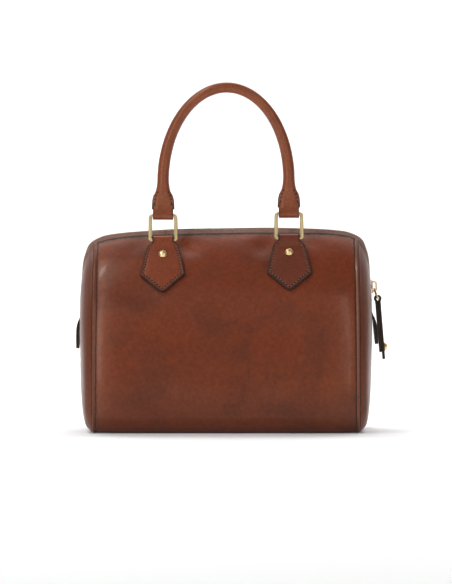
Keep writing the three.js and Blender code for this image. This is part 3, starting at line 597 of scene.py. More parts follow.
# %% [markdown]
# ## Leather sheets
#
# Cut leather has a thickness that shows wherever it ends. A plane with a Solidify modifier would give
# that, but its edge would stay square and the paint on it would need a second material. So a sheet here
# is two grids of points, a top and a bottom, joined round their edges, and each point keeps its distance
# from the nearest cut edge. The material paints that edge dark and burnishes the leather beside it.

# %% Sheet helper
EDGE_STEPS = np.array([0, 0.12, 0.3, 0.55, 0.9, 1.4, 2.1, 3, 4.2, 6]) * MM
EDGE_ROUND = 0.55 * MM


def rounding(distance, radius=EDGE_ROUND):
    """How far a surface falls away near a rounded edge."""
    left = 1 - np.clip(np.asarray(distance) / radius, 0, 1)
    return radius * (1 - np.sqrt(1 - left**2))


def leather_sheet(name, top, bottom, edge, material, sharp=SHARP):
    """A closed sheet between two grids of points (rows, columns, 3)."""
    rows, columns = top.shape[:2]
    loops = np.concatenate([top, bottom[:, ::-1]], axis=1)
    index = np.arange(rows * 2 * columns).reshape(rows, 2 * columns)
    faces = ring_faces(index)
    for end in (index[0], index[-1]):
        upper, lower = end[:columns], end[columns:][::-1]
        faces += np.stack([upper[:-1], upper[1:], lower[1:], lower[:-1]], -1).tolist()
    marks = {"edge": np.concatenate([edge, edge[:, ::-1]], axis=1)}
    return make_piece(name, loops, faces, material, marks, sharp)


def dress(piece, slot, *nodes):
    """Every piece of this bag rides on its one body; some stand for solids of the model."""
    if nodes:
        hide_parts(*nodes)
    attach(piece, "root")
    return piece


# %% Relief of the body leather
# Soft dents in the front: middle and half size as shares of half length and edge height, and depth in mm.
DENTS = [
    (-0.62, 0.69, 0.32, 0.09, 1.3), (-0.3, 0.92, 0.18, 0.08, 1.9),
    (0.28, 0.92, 0.18, 0.08, 1.9), (0.62, 0.6, 0.26, 0.1, 1.2),
]
# Soft creases in the front: two ends as (x, z), half width and depth, all in mm.
CREASES = [
    ((-104, 131), (-62, 126), 5, 0.5), ((-78, 181), (-96, 168), 6, 0.7), ((-43, 181), (-26, 171), 6, 0.8),
    ((43, 183), (27, 172), 6, 0.7), ((77, 183), (96, 172), 6, 0.6), ((34, 140), (4, 118), 6, 0.35),
    ((-118, 12), (-92, 9), 5, 0.7), ((-70, 8), (-20, 11), 5, 0.5), ((12, 9), (70, 7), 5, 0.5),
    ((94, 16), (116, 10), 5, 0.6),
]
SEAM_ROLL = 1.9 * MM  # width over which the leather turns in at a seam
SEAM_SINK = 1.3 * MM
# Painted shade: the body leather is painted dark along the end seams, like a cut edge, for the shade in the
# groove beside the piping.
SEAM_PAINTED_SHADE = 3.0  # a point this far from a seam is as dark as one 1 mm from a painted edge
WAVE_SIZE = 46 * MM
WAVE_DEPTH = 0.5 * MM
WAVE_FADE = 12 * MM  # height over the floor where the waves reach their full depth


def soft_waves(points):
    """Smooth noise at points."""
    values = [noise.noise(Vector(p) / WAVE_SIZE) for p in points.reshape(-1, 3)]
    return np.reshape(values, points.shape[:-1])


def relief(points, face):
    """How far the body leather sinks at points on its skin."""
    x, z = points[..., 0], points[..., 2]
    sink = np.zeros(x.shape)
    if face < 0:
        for along, up, width, height, depth in DENTS:
            far = np.hypot((x / seam_x - along) / width, (z / EDGE_HEIGHT - up) / height)
            sink += depth * MM * np.cos(np.minimum(far, 1) * math.pi / 2) ** 2
        for start, end, width, depth in CREASES:
            start, way = np.array(start) * MM, (np.array(end) - start) * MM
            share = np.clip(((x - start[0]) * way[0] + (z - start[1]) * way[1]) / (way @ way), 0, 1)
            far = np.hypot(x - start[0] - share * way[0], z - start[1] - share * way[1]) / (width * MM)
            fade = np.sin(math.pi * (0.12 + 0.76 * share))
            sink += depth * MM * fade * np.exp(-far * far)
    return sink + WAVE_DEPTH * soft_waves(points) * np.clip(z / WAVE_FADE, 0, 1)


# %% Body wrap
def girth(x, face):
    """Distance from a leather edge to the middle of the base."""
    out, up = profile(x, face)
    return np.hypot(np.diff(out), np.diff(up)).sum(axis=1)


ROW_STEP = 2.3 * MM
even = np.arange(0, wrap_reach - 3.2 * MM, ROW_STEP)
near_seam = wrap_reach - np.array([3, 2.6, 2.2, 1.8, 1.4, 1.05, 0.75, 0.5, 0.3, 0.15, 0.05, 0]) * MM
stations = np.concatenate([even, near_seam])
stations = np.concatenate([-stations[:0:-1], stations])
base_length = girth(0.0, -1)[0]
shares = np.concatenate([EDGE_STEPS, np.linspace(EDGE_STEPS[-1], base_length, 118)[1:]]) / base_length


def body_half(face):
    """Top and bottom of the front (-1) or back (1) leather, from the leather edge to the base."""
    down = girth(stations, face)[:, None] * shares
    skin, ways = along_profile(stations[:, None], face, down)
    turn = np.clip((np.abs(stations) - wrap_reach + SEAM_ROLL) / SEAM_ROLL, 0, 1)[:, None]
    seam = SEAM_SINK * (1 - np.sqrt(1 - turn**2 * 0.98))
    sink = relief(skin, face) * (1 - turn) + seam
    top = skin - ways * (sink + rounding(down))[..., None]
    bottom = skin - ways * (sink + LEATHER - rounding(down))[..., None]
    return top, bottom, down


front_top, front_bottom, front_down = body_half(-1)
back_top, back_bottom, back_down = body_half(1)
body_top = np.concatenate([front_top, back_top[:, -2::-1]], axis=1)
body_bottom = np.concatenate([front_bottom, back_bottom[:, -2::-1]], axis=1)
body_edge_and_seam_shade = np.concatenate([front_down, back_down[:, -2::-1]], axis=1)
# Painted shade in the seam grooves: the distance to a seam is stored as if it were a cut edge, so the edge
# paint darkens the leather there.
body_edge_and_seam_shade = np.minimum(body_edge_and_seam_shade, SEAM_PAINTED_SHADE * (wrap_reach - np.abs(stations))[:, None] + 0.1 * MM)
bag_body = leather_sheet("bag_body", body_top, body_bottom, body_edge_and_seam_shade, leathers["body leather"])
dress(bag_body, "body_leather", "body_wrap")
print("body wrap:", len(bag_body.data.polygons), "faces")

# %% [markdown]
# ## Domed ends
#
# Each end is one piece of leather, wet and stretched over a form, so it bulges past its seam. Its shape
# is polar: rings run in from the rim, and a table says how far each ring stands out, fuller low down
# than near the top. The slot for the zip is cut afterwards with a Boolean, as a knife would.

# %% End panel sizes
DOME = np.array([
    (0, 0, 0), (0.03, 0.11, 0.26), (0.08, 0.33, 0.49), (0.16, 0.6, 0.62),
    (0.3, 0.85, 0.74), (0.5, 0.985, 0.85), (0.75, 1, 0.95), (1, 1, 1),
])
END_BULGE = 15 * MM
DOME_MIDDLE = 0.46
SLOT_DEPTH = 76 * MM
SLOT_TAIL = 7 * MM
SLOT_CORNER = 3 * MM
rim_x = seam_x + piping_radius + CLEARANCE
dome_reach = seam_x + END_BULGE - rim_x
dome_upper = smooth_table(DOME[:, 0], DOME[:, 1])
dome_lower = smooth_table(DOME[:, 0], DOME[:, 2])


def seam_top(side):
    """Height of the leather edge at a seam."""
    return float(body_size(side * seam_x, -1)[1])


def rim_points(side, count):
    """Closed rim of an end panel, as depths and heights."""
    halves = []
    for face in (-1, 1):
        down = girth(side * seam_x, face) * np.linspace(0, 1, count)
        halves.append(along_profile(side * seam_x, face, down)[0][:, 1:])
    crown = np.array([[0, seam_top(side) + ZIP_GAP / 4]])
    return np.concatenate([crown, halves[0], halves[1][-2::-1]])


def dome_rise(inward, up):
    """How far an end stands out past its rim, at a share of the way in and a way up."""
    lower, upper = dome_lower(inward), dome_upper(inward)
    return dome_reach * (lower + (upper - lower) * (1 + up) / 2)


def dome_x(side, y, z):
    """Distance from mid bag to an end's outer face."""
    rim = rim_points(side, 120) - [0, DOME_MIDDLE * seam_top(side)]
    z = z - DOME_MIDDLE * seam_top(side)
    angles = np.arctan2(rim[:, 1], rim[:, 0])
    order = np.argsort(angles)
    radius = np.interp(np.arctan2(z, y), angles[order], np.hypot(*rim[order].T), period=2 * math.pi)
    reach = np.hypot(y, z)
    return rim_x + dome_rise(1 - np.minimum(1, reach / radius), z / np.maximum(reach, 1e-6))


# %% End panels
END_RINGS = np.concatenate([np.linspace(0, 0.12, 14), np.linspace(0.12, 0.96, 30)[1:]])
END_WAVE = 0.35 * MM
SHARP_SLOT = math.radians(38)


def end_panel(side, hand):
    """A domed end with a slot for the zip."""
    centre = np.array([0, DOME_MIDDLE * seam_top(side)])
    rim = rim_points(side, 130)
    inward = END_RINGS[:, None]
    flat = rim[None] * (1 - inward[..., None]) + centre * inward[..., None]
    up = (rim[:, 1] - centre[1]) / np.hypot(*(rim - centre).T)
    waves = soft_waves(np.concatenate([np.full((*flat.shape[:2], 1), float(side)), flat], axis=-1))
    rise = dome_rise(inward, up[None]) + END_WAVE * waves * np.minimum(1, inward / 0.15)
    outer = np.concatenate([(side * (rim_x + rise))[..., None], flat], axis=-1)
    tip = np.array([side * (rim_x + dome_reach), *centre])
    rounds = np.roll(outer, -1, 1) - np.roll(outer, 1, 1)
    inwards = np.gradient(outer, axis=0)
    ways = np.cross(rounds, inwards)
    ways /= np.linalg.norm(ways, axis=-1, keepdims=True)
    ways *= side * np.sign(ways[..., :1])
    inner = outer - LEATHER * ways
    inner[..., 0] = side * np.maximum(np.abs(inner[..., 0]), rim_x)
    count = len(rim)
    index = np.arange(2 * outer[..., 0].size).reshape(2, len(END_RINGS), count)
    faces = ring_faces(index[0]) + ring_faces(index[1]) + ring_faces(index[:, 0])
    for shell, last in ((index[0, -1], index.size), (index[1, -1], index.size + 1)):
        faces += [[a, b, last] for a, b in zip(shell.tolist(), np.roll(shell, -1).tolist())]
    points = np.concatenate([outer.reshape(-1, 3), inner.reshape(-1, 3), [tip, tip - [side * LEATHER, 0, 0]]])
    panel = make_piece("bag_end_" + hand, points, faces)
    bottom = seam_top(side) - SLOT_DEPTH
    corner = [SLOT_CORNER * (1 - math.cos(t)) for t in np.linspace(0, math.pi / 2, 7)]
    outline = [(ZIP_GAP - c, bottom + SLOT_CORNER * (1 - math.sin(t)))
               for c, t in zip(corner, np.linspace(0, math.pi / 2, 7))]
    outline = [(ZIP_GAP, 2 * EDGE_HEIGHT), *outline]
    outline += [(-y, z) for y, z in reversed(outline)]
    knife_points = [(side * (rim_x + x), y, z) for x in (-END_BULGE, 2 * END_BULGE) for y, z in outline]
    size = len(outline)
    knife_faces = [list(range(size)), list(range(size, 2 * size))]
    knife_faces += [[i, (i + 1) % size, size + (i + 1) % size, size + i] for i in range(size)]
    knife = make_piece("knife", knife_points, knife_faces)
    cut = panel.modifiers.new("slot", "BOOLEAN")
    cut.object, cut.solver, cut.operation = knife, "EXACT", "DIFFERENCE"
    cut_mesh = bpy.data.meshes.new_from_object(panel.evaluated_get(bpy.context.evaluated_depsgraph_get()))
    panel.modifiers.clear()
    bpy.data.objects.remove(knife)
    places = np.array([v.co for v in cut_mesh.vertices])
    inside = np.maximum(np.abs(places[:, 1]) - ZIP_GAP, 0)
    below = np.maximum(bottom - places[:, 2], 0)
    polygons = [list(p.vertices) for p in cut_mesh.polygons]
    bpy.data.objects.remove(panel)
    marks = {"edge": np.hypot(inside, below)}
    return make_piece("bag_end_" + hand, places, polygons, leathers["end leather"], marks, SHARP_SLOT)


for side, hand in ENDS:
    end = end_panel(side, hand)
    dress(end, "body_leather", "end_panel_" + hand)
    print(end.name, len(end.data.polygons), "faces")

# %% [markdown]
# ## Piping
#
# A thin strip of leather wrapped round a cord is caught in each end seam, with its two raw edges, the seam
# allowance, turned inside. It is a round section with a tail, swept along the rim. A curve object with a
# bevel would do, but a helper that sweeps any section along any line serves the handles, the rings and
# the zip slider too.

# %% Sweep helper
def unit(vectors):
    """Vectors of length one."""
    return vectors / np.linalg.norm(vectors, axis=-1, keepdims=True)


def sweep(path, ways, sections, closed=False):
    """Points and faces of a bar: sections are (across, out) at each point of the path."""
    path, sections = np.asarray(path, float), np.asarray(sections, float)
    if closed:
        along = np.roll(path, -1, 0) - np.roll(path, 1, 0)
    else:
        along = np.gradient(path, axis=0)
    ways = np.broadcast_to(np.asarray(ways, float), path.shape)
    across = unit(np.cross(along, ways))
    out = unit(np.cross(across, along))
    sections = np.broadcast_to(sections, (len(path), *sections.shape[-2:]))
    points = path[:, None] + across[:, None] * sections[..., :1] + out[:, None] * sections[..., 1:]
    count = points.shape[1]
    if not closed:
        return points.reshape(-1, 3), bar_faces(len(path), count)
    index = np.arange(len(path) * count).reshape(len(path), count)
    return points.reshape(-1, 3), ring_faces(np.vstack([index, index[:1]]))


def round_section(radius, sides):
    """A circle of points."""
    turn = np.arange(sides) / sides * 2 * math.pi
    return np.stack([np.cos(turn), np.sin(turn)], -1) * radius


# %% Piping in the end seams
PIPING_SINK = 0.4 * MM
PIPING_TUCK = 1.6 * MM  # how far its ends sink beside the zip
ALLOWANCE = 5 * MM
turn = np.linspace(math.radians(-15), math.radians(195), 13)
cord_round = np.stack([np.cos(turn), np.sin(turn)], -1) * piping_radius
allowance_half = piping_radius + CLEARANCE
cord_tail = [(-allowance_half, -0.8 * piping_radius), (-allowance_half, -ALLOWANCE),
             (allowance_half, -ALLOWANCE), (allowance_half, -0.8 * piping_radius)]
cord_section = np.concatenate([cord_round, cord_tail])

for side, hand in ENDS:
    halves = []
    for face in (-1, 1):
        down = girth(side * seam_x, face) * np.linspace(0, 1, 200)
        sink = PIPING_SINK + PIPING_TUCK * np.clip(1 - down / (4 * MM), 0, 1) ** 2
        halves.append(along_profile(side * seam_x, face, down, -sink)[0])
    path = np.concatenate([halves[0], halves[1][-2::-1]])
    middle_way = [0, 0, DOME_MIDDLE * seam_top(side)] - path
    points, faces = sweep(path, -middle_way, cord_section)
    marks = {"edge": np.full(len(points), 1.0)}
    cord = make_piece("piping_cord_" + hand, points, faces, leathers["piping leather"], marks)
    dress(cord, "piping_leather", "piping_" + hand)
print("piping radius:", round(piping_radius / MM, 2), "mm")

# %% [markdown]
# ## Zip
#
# The zip runs over the top and down both ends in one line, so everything on it is placed by its run, the
# distance along that line. Between the front and the back leather edge the tape rises to the teeth, which
# stand a little proud of the leather on top and sink between the edges towards the ends.

# %% Zip sizes
RIDGE = 4.3 * MM  # closed teeth over the front leather edge
RIDGE_END = 0.5 * MM
RIDGE_FADE = 40 * MM
CHAIN_HALF = 2.8 * MM
CHAIN_THICK = 2.4 * MM
TAPE_THICK = 0.8 * MM
TAPE_UNDER = 3.5 * MM
SLIDER_DROP = 46 * MM
ZIP_END = np.array([0, 0.2, 0.4, 0.6, 0.76, 0.88, 0.96])
ZIP_OVER = np.array([-0.94, -0.84, -0.68, -0.5, -0.25, 0, 0.25, 0.5, 0.68, 0.84, 0.94])


def run_along(points):
    """Distance along a line of points."""
    return np.concatenate([[0], np.cumsum(np.linalg.norm(np.diff(points, axis=0), axis=1))])


def at_run(place, run, line):
    """Points of a line, or values at them, at distances along it."""
    return np.stack([np.interp(place, run, column) for column in line.T], -1)


def even_path(points, step):
    """The same line with evenly spaced points."""
    run = run_along(points)
    return at_run(np.linspace(0, run[-1], max(2, round(run[-1] / step)) + 1), run, points)


def smooth_path(corners, step):
    """Evenly spaced points on a centripetal curve through corners."""
    c = np.asarray(corners, float)
    c = np.vstack([2 * c[0] - c[1], c, 2 * c[-1] - c[-2]])
    knots = np.concatenate([[0], np.cumsum(np.sqrt(np.linalg.norm(np.diff(c, axis=0), axis=1)))])
    found = []
    for i in range(1, len(c) - 2):
        t = np.linspace(knots[i], knots[i + 1], 40, endpoint=i == len(c) - 3)[:, None]

        def blend(first, second, low, high):
            return (first * (knots[high] - t) + second * (t - knots[low])) / (knots[high] - knots[low])

        a, b, d = (blend(c[j], c[j + 1], j, j + 1) for j in (i - 1, i, i + 1))
        found.append(blend(blend(a, b, i - 1, i + 1), blend(b, d, i, i + 2), i, i + 1))
    return even_path(np.concatenate(found), step)


# %% Zip line
def zip_corners(side):
    """Places of the zip on one end, from the foot of the slot up."""
    heights = seam_top(side) - (1 - ZIP_END) * (SLOT_DEPTH - SLOT_TAIL)
    return np.stack([side * dome_x(side, ZIP_GAP, heights), 0 * heights, heights], -1)


over_top = np.stack([ZIP_OVER * seam_x, 0 * ZIP_OVER, body_size(ZIP_OVER * seam_x, -1)[1]], -1)
zip_line = smooth_path(np.concatenate([zip_corners(-1), over_top, zip_corners(1)[::-1]]), 0.5 * MM)
zip_run = run_along(zip_line)
zip_ways = unit(np.gradient(zip_line, axis=0))


def smoothstep(value):
    """Eases from 0 to 1."""
    value = np.clip(value, 0, 1)
    return value * value * (3 - 2 * value)


def zip_place(run):
    """Point, way along, way out and height of the teeth at runs along the zip."""
    point, along = at_run(run, zip_run, zip_line), unit(at_run(run, zip_run, zip_ways))
    out = np.stack([-along[..., 2], 0 * along[..., 0], along[..., 0]], -1)
    top = np.where(point[..., 0] < 0, seam_top(-1), seam_top(1))
    ridge = RIDGE + (RIDGE_END - RIDGE) * smoothstep((top - point[..., 2]) / RIDGE_FADE)
    return point, along, out, ridge


right_end = zip_line[:, 0] > seam_x
slider_run = float(np.interp(SLIDER_DROP - seam_top(1), -zip_line[right_end, 2], zip_run[right_end]))
PART_WIDTH = 2.6 * MM  # how far each row of teeth stands off beyond the slider
PART_LENGTH = 9 * MM


def parting(run):
    """How far each row of teeth has moved off the middle line."""
    return PART_WIDTH * smoothstep((run - slider_run) / PART_LENGTH)


print("zip:", round(zip_run[-1] / MM), "mm long, slider at", round(slider_run / MM), "mm")

# %% [markdown]
# The tape is woven cotton. Its weave is too fine to model, so that is left to a bump in the material, but
# the ribs where it is stretched between the teeth are real shapes, because they show against the light.

# %% Tape material
tape_cloth, tree, shader = new_material("zip tape")
spot = node(tree, "ShaderNodeTexCoord").outputs["Object"]
weave = node(tree, "ShaderNodeTexWave", {"Vector": spot, "Scale": 620.0, "Distortion": 1.5, "Detail": 2.0},
             wave_type="BANDS", bands_direction="DIAGONAL")
lint = node(tree, "ShaderNodeTexNoise", {"Vector": spot, "Scale": 900.0, "Detail": 3.0})
yarn = plus(tree, times(tree, weave.outputs["Fac"], 0.7), lint.outputs["Fac"])
tape_tone = blend_colours(tree, ramp(tree, yarn, 0.4, 1.3), (0.12, 0.055, 0.04, 1), (0.36, 0.19, 0.14, 1))
tree.links.new(tape_tone, shader.inputs["Base Color"])
raised = node(tree, "ShaderNodeBump", {"Strength": 0.5, "Distance": 0.0006, "Height": yarn})
tree.links.new(raised.outputs["Normal"], shader.inputs["Normal"])
shader.inputs["Roughness"].default_value = 0.82
shader.inputs["Sheen Weight"].default_value = 0.25

# %% Zip tapes
TOOTH_PITCH = 3.5 * MM
RIB_RISE = 0.42 * MM
TAPE_STEP = 0.7 * MM


def leather_slope(point, out, face):
    """Slope of the leather beside the zip, down from the middle line."""
    slopes = []
    for p, o in zip(point, out):
        way = along_profile(np.clip(p[0], -seam_x, seam_x), face, 0.0)[1]
        side = 1 if p[0] > 0 else -1
        fall = dome_x(side, ZIP_GAP, p[2]) - dome_x(side, ZIP_GAP + TAPE_UNDER, p[2])
        over, end = math.atan2(abs(way[1]), way[2]), math.atan2(float(fall), TAPE_UNDER)
        slopes.append(end + (over - end) * max(0, o[2]) ** 2)
    return np.array(slopes)


coarse = np.linspace(0, zip_run[-1], 90)
coarse_point, _, coarse_out, _ = zip_place(coarse)


def zip_tape(name, face):
    """One woven tape, from its teeth to under the leather."""
    run = np.arange(0, zip_run[-1], TAPE_STEP)
    point, _, out, ridge = zip_place(run)
    slope = np.interp(run, coarse, leather_slope(coarse_point, coarse_out, face))
    x = np.clip(point[:, 0], -seam_x, seam_x)
    rear = body_size(x, face)[1] - body_size(x, -1)[1]
    under = LEATHER + CLEARANCE + TAPE_THICK / 2
    lip_y, lip_up = ZIP_GAP - under * np.sin(slope), rear - under * np.cos(slope)
    start = CHAIN_HALF + CLEARANCE + parting(run)
    ys = np.stack([start, lip_y, lip_y + TAPE_UNDER * np.cos(slope)])
    ups = np.stack([ridge - CHAIN_THICK / 2, lip_up, lip_up - TAPE_UNDER * np.sin(slope)])
    shares = np.array([0, 0.05, 0.12, 0.2, 0.3, 0.4, 0.55, 0.7, 0.85, 1, 1.15, 1.4, 1.7, 2])
    y = np.stack([np.interp(shares, [0, 1, 2], column) for column in ys.T])
    up = np.stack([np.interp(shares, [0, 1, 2], column) for column in ups.T])
    rib = 0.5 + 0.5 * np.cos(2 * math.pi * (run / TOOTH_PITCH + (0.5 if face > 0 else 0)))
    up_rib = up + RIB_RISE * rib[:, None] * np.exp(-((shares - 0.16) / 0.16) ** 2)

    def skin(levels, lift):
        return point[:, None] + out[:, None] * (levels + lift)[..., None] + REARWARD * face * y[..., None]

    edge = np.broadcast_to(1.0, y.shape)
    tape = leather_sheet(name, skin(up_rib, TAPE_THICK / 2), skin(up, -TAPE_THICK / 2), edge, tape_cloth)
    return tape


for face, way in WALLS:
    tape = dress(zip_tape("zip_cloth_" + way, face), "zip_tape", "zip_tape_" + way)
    print(tape.name, len(tape.data.polygons), "faces")

# %% [markdown]
# ## Brass
#
# The rings, rivets and zip are solid brass, lightly brushed and lacquered. Plain metal looks new and flat,
# so a node group adds faint tarnish in patches and fine scratches to the roughness, and each metal
# material takes it with its own strength.

# %% Metal wear group
metal_wear, given, result = new_group("metal wear", [
    ("Clean", "Color", (0.8, 0.6, 0.3, 1)),
    ("Tarnish", "Color", (0.4, 0.25, 0.1, 1)),
    ("Amount", "Float", 0.5),
    ("Roughness", "Float", 0.2),
], [("Colour", "Color"), ("Roughness", "Float"), ("Height", "Float")])
spot = node(metal_wear, "ShaderNodeTexCoord").outputs["Object"]
patches = node(metal_wear, "ShaderNodeTexNoise", {
    "Vector": spot, "Scale": 260.0, "Detail": 4.0, "Roughness": 0.6,
})
hairs = node(metal_wear, "ShaderNodeTexNoise", {"Vector": spot, "Scale": 2200.0, "Detail": 2.0})
dull = times(metal_wear, ramp(metal_wear, patches.outputs["Fac"], 0.45, 0.75), given["Amount"])
metal_wear.links.new(blend_colours(metal_wear, dull, given["Clean"], given["Tarnish"]), result["Colour"])
rough = plus(metal_wear, given["Roughness"], times(metal_wear, dull, 0.25))
metal_wear.links.new(rough, result["Roughness"])
metal_wear.links.new(hairs.outputs["Fac"], result["Height"])


# %% Brass materials
def metal(name, clean, tarnish, amount, rough, bump=0.04):
    """Solid metal with faint wear."""
    material, tree, shader = new_material(name)
    wear = use_group(tree, metal_wear, {
        "Clean": (*clean, 1), "Tarnish": (*tarnish, 1), "Amount": amount, "Roughness": rough,
    })
    tree.links.new(wear["Colour"], shader.inputs["Base Color"])
    tree.links.new(wear["Roughness"], shader.inputs["Roughness"])
    brushed = node(tree, "ShaderNodeBump", {"Strength": bump, "Distance": 0.0002, "Height": wear["Height"]})
    tree.links.new(brushed.outputs["Normal"], shader.inputs["Normal"])
    shader.inputs["Metallic"].default_value = 1.0
    return material


ring_brass = metal("ring brass", (0.93, 0.74, 0.4), (0.76, 0.55, 0.25), 0.35, 0.3)
rivet_brass = metal("rivet brass", (0.92, 0.68, 0.35), (0.74, 0.5, 0.22), 0.35, 0.34)
teeth_brass = metal("teeth brass", (0.5, 0.38, 0.22), (0.14, 0.09, 0.06), 0.9, 0.32)
print("metals:", ring_brass.name, rivet_brass.name, teeth_brass.name)

# %% [markdown]
# Each tooth is a small casting clamped on the tape's edge, with a head that reaches over the middle and
# locks between two heads of the other row. One tooth is made as a list of sections and then set at every
# pitch, half a pitch apart on the two sides. An array along a curve could place them, but here the
# rows also have to part beyond the slider.

# %% Zip teeth
# Sections of a tooth: distance from the middle line, half width along the zip and half height, in mm.
TOOTH = np.array([
    (3, 0.35, 0.75), (2.9, 0.6, 1.05), (1.5, 0.62, 1.05), (1.1, 0.5, 0.8), (0.75, 0.42, 0.7),
    (0.3, 0.66, 0.9), (-0.55, 0.66, 0.9), (-0.95, 0.45, 0.65), (-1.05, 0.2, 0.35),
]) * MM
TOOTH_SIDES = 10
TEETH_PAST = 15 * MM  # teeth beyond the slider
LAST_TOOTH = 3.4 * MM  # bare run beside the slider's post


def tooth_rings(face):
    """Rings of one tooth, as places along, across and out."""
    turn = (np.arange(TOOTH_SIDES) + 0.5) / TOOTH_SIDES * 2 * math.pi
    box = [np.sign(wave) * np.abs(wave) ** 0.5 for wave in (np.cos(turn), np.sin(turn))]
    rings = [np.stack([half * box[0], np.full(TOOTH_SIDES, face * y), high * box[1]], -1)
             for y, half, high in TOOTH]
    return np.array(rings)


teeth_points, teeth_faces = [], []
for face in (-1, 1):
    rings = tooth_rings(face)
    runs = np.arange(1.5 * MM + (face + 1) / 4 * TOOTH_PITCH, slider_run + TEETH_PAST, TOOTH_PITCH)
    for run in runs[np.abs(runs - slider_run) > LAST_TOOTH / 2]:
        point, along, out, ridge = zip_place(run)
        centre = point + out * (ridge - CHAIN_THICK / 2) + REARWARD * face * parting(run)
        teeth_faces += bar_faces(len(TOOTH), TOOTH_SIDES, len(teeth_points))
        placed = centre + rings[..., :1] * along + rings[..., 1:2] * REARWARD + rings[..., 2:] * out
        teeth_points += placed.reshape(-1, 3).tolist()
dress(make_piece("zip_teeth", teeth_points, teeth_faces, teeth_brass), "brass", "zip_chain")
print("zip teeth:", len(teeth_points) // (len(TOOTH) * TOOTH_SIDES))

# %% [markdown]
# ## Slider and link
#
# The slider is two plates on a post, with a bridge on top. A flat link hangs on the bridge and widens at
# its foot for the leather pull. Plates are outlines given a thickness and rounded rims, and the wires are
# swept.

# %% Plate and frame helpers
def offset_outline(outline, inset):
    """A closed outline moved inwards."""
    outline = np.asarray(outline, float)
    before, after = unit(outline - np.roll(outline, 1, 0)), unit(np.roll(outline, -1, 0) - outline)
    normal = np.stack([-(before + after)[:, 1], (before + after)[:, 0]], -1)
    mitre = np.clip(1 / np.maximum(0.3, (1 + np.sum(before * after, -1)) / 2), 1, 2)
    return outline + unit(normal) * inset * np.sqrt(mitre)[:, None]


def plate(outline, thickness, rim):
    """Points and faces of a flat plate with rounded rims, from an outline that runs anticlockwise."""
    layers = []
    for side in (-1, 1):
        turns = np.linspace(0, math.pi / 2, 4)[::-side]
        for turn in turns:
            flat = offset_outline(outline, rim * (1 - math.cos(turn)))
            height = side * (thickness / 2 - rim * (1 - math.sin(turn)))
            layers.append(np.column_stack([flat, np.full(len(flat), height)]))
    return np.concatenate(layers), bar_faces(len(layers), len(layers[0]))


def rounded_corners(corners, radius, closed=True, steps=6):
    """A line of points with its corners rounded off."""
    corners, found = np.asarray(corners, float), []
    for i, corner in enumerate(corners):
        if not closed and i in (0, len(corners) - 1):
            found.append(corner)
            continue
        back, ahead = corners[i - 1] - corner, corners[(i + 1) % len(corners)] - corner
        half = math.acos(np.clip(unit(back) @ unit(ahead), -1, 1)) / 2
        reach = min(radius / math.tan(half), 0.49 * np.linalg.norm(back), 0.49 * np.linalg.norm(ahead))
        start, end = corner + unit(back) * reach, corner + unit(ahead) * reach
        for t in np.linspace(0, 1, steps + 1):
            found.append((1 - t) ** 2 * start + 2 * t * (1 - t) * corner + t * t * end)
    return np.array(found)


def merge(*parts):
    """Joins several lists of points and faces."""
    points, faces = [], []
    for part_points, part_faces in parts:
        faces += [[i + len(points) for i in face] for face in part_faces]
        points += np.asarray(part_points).tolist()
    return points, faces


def set_in(origin, x, y, z, local):
    """Moves local points into a frame."""
    return origin + local[:, :1] * x + local[:, 1:2] * y + local[:, 2:3] * z


# %% Slider
SLIDER_LENGTH = 13 * MM
SLIDER_HALF = 4.5 * MM
PLATE_THICK = 0.9 * MM
POST = 3 * MM
BRIDGE_LENGTH = 10.4 * MM
BRIDGE_WIRE = 1.6 * MM
BRIDGE_ROOM = 2.6 * MM
plate_top = CHAIN_THICK / 2 + CLEARANCE + PLATE_THICK
slider_point, slider_down, slider_out, slider_ridge = zip_place(slider_run)
slider_origin = slider_point + slider_out * (slider_ridge - CHAIN_THICK / 2)

half = SLIDER_LENGTH / 2
cheeks = [(-half, -0.62), (-0.8 * half, -0.84), (-0.5 * half, -0.98), (0.2 * half, -1), (half, -0.8)]
slider_outline = [(x, y * SLIDER_HALF) for x, y in cheeks]
slider_outline += [(x, -y) for x, y in reversed(slider_outline)]
slider_outline = rounded_corners(slider_outline, 1.2 * MM)
upper = plate(slider_outline, PLATE_THICK, 0.3 * MM)
lift = np.array([0, 0, plate_top - PLATE_THICK / 2])
post_outline = [(-POST / 2, -POST / 4), (POST / 2, -POST / 4), (POST / 2, POST / 4), (-POST / 2, POST / 4)]
post = plate(post_outline, 2 * plate_top - PLATE_THICK, 0.1 * MM)
foot, crown = plate_top - PLATE_THICK / 2, plate_top + BRIDGE_ROOM + BRIDGE_WIRE / 2
reach = (BRIDGE_LENGTH - BRIDGE_WIRE) / 2
arch = [(-reach, foot), (-reach, crown), (reach, crown), (reach, foot)]
arch = rounded_corners(arch, 3.4 * MM, closed=False, steps=12)
arch = even_path(arch, 0.25 * MM)
bridge = sweep(np.column_stack([arch[:, 0], 0 * arch[:, 0], arch[:, 1]]), REARWARD,
               round_section(BRIDGE_WIRE / 2, 12) * [1, 1.1])
points, faces = merge((upper[0] + lift, upper[1]), (upper[0] - lift, upper[1]), post, bridge)
points = set_in(slider_origin, slider_down, REARWARD, slider_out, np.array(points))
dress(make_piece("slider_body", points, faces, rivet_brass), "brass", "zip_slider")

# %% Link
LINK_WIRE = 1.5 * MM
LINK_REACH = 10 * MM
LINK_HEAD = 3 * MM
LINK_LEAN = 0.34
PULL_WIDTH = 10 * MM
PULL_FOLD = 2.1 * MM
PULL_EYE = (LINK_WIRE + 2 * CLEARANCE) * math.sqrt(0.5)


def hanging(lean):
    """Ways down and out of a piece that hangs on the right end with a lean."""
    return np.array([math.sin(lean), 0, -math.cos(lean)]), np.array([math.cos(lean), 0, math.sin(lean)])


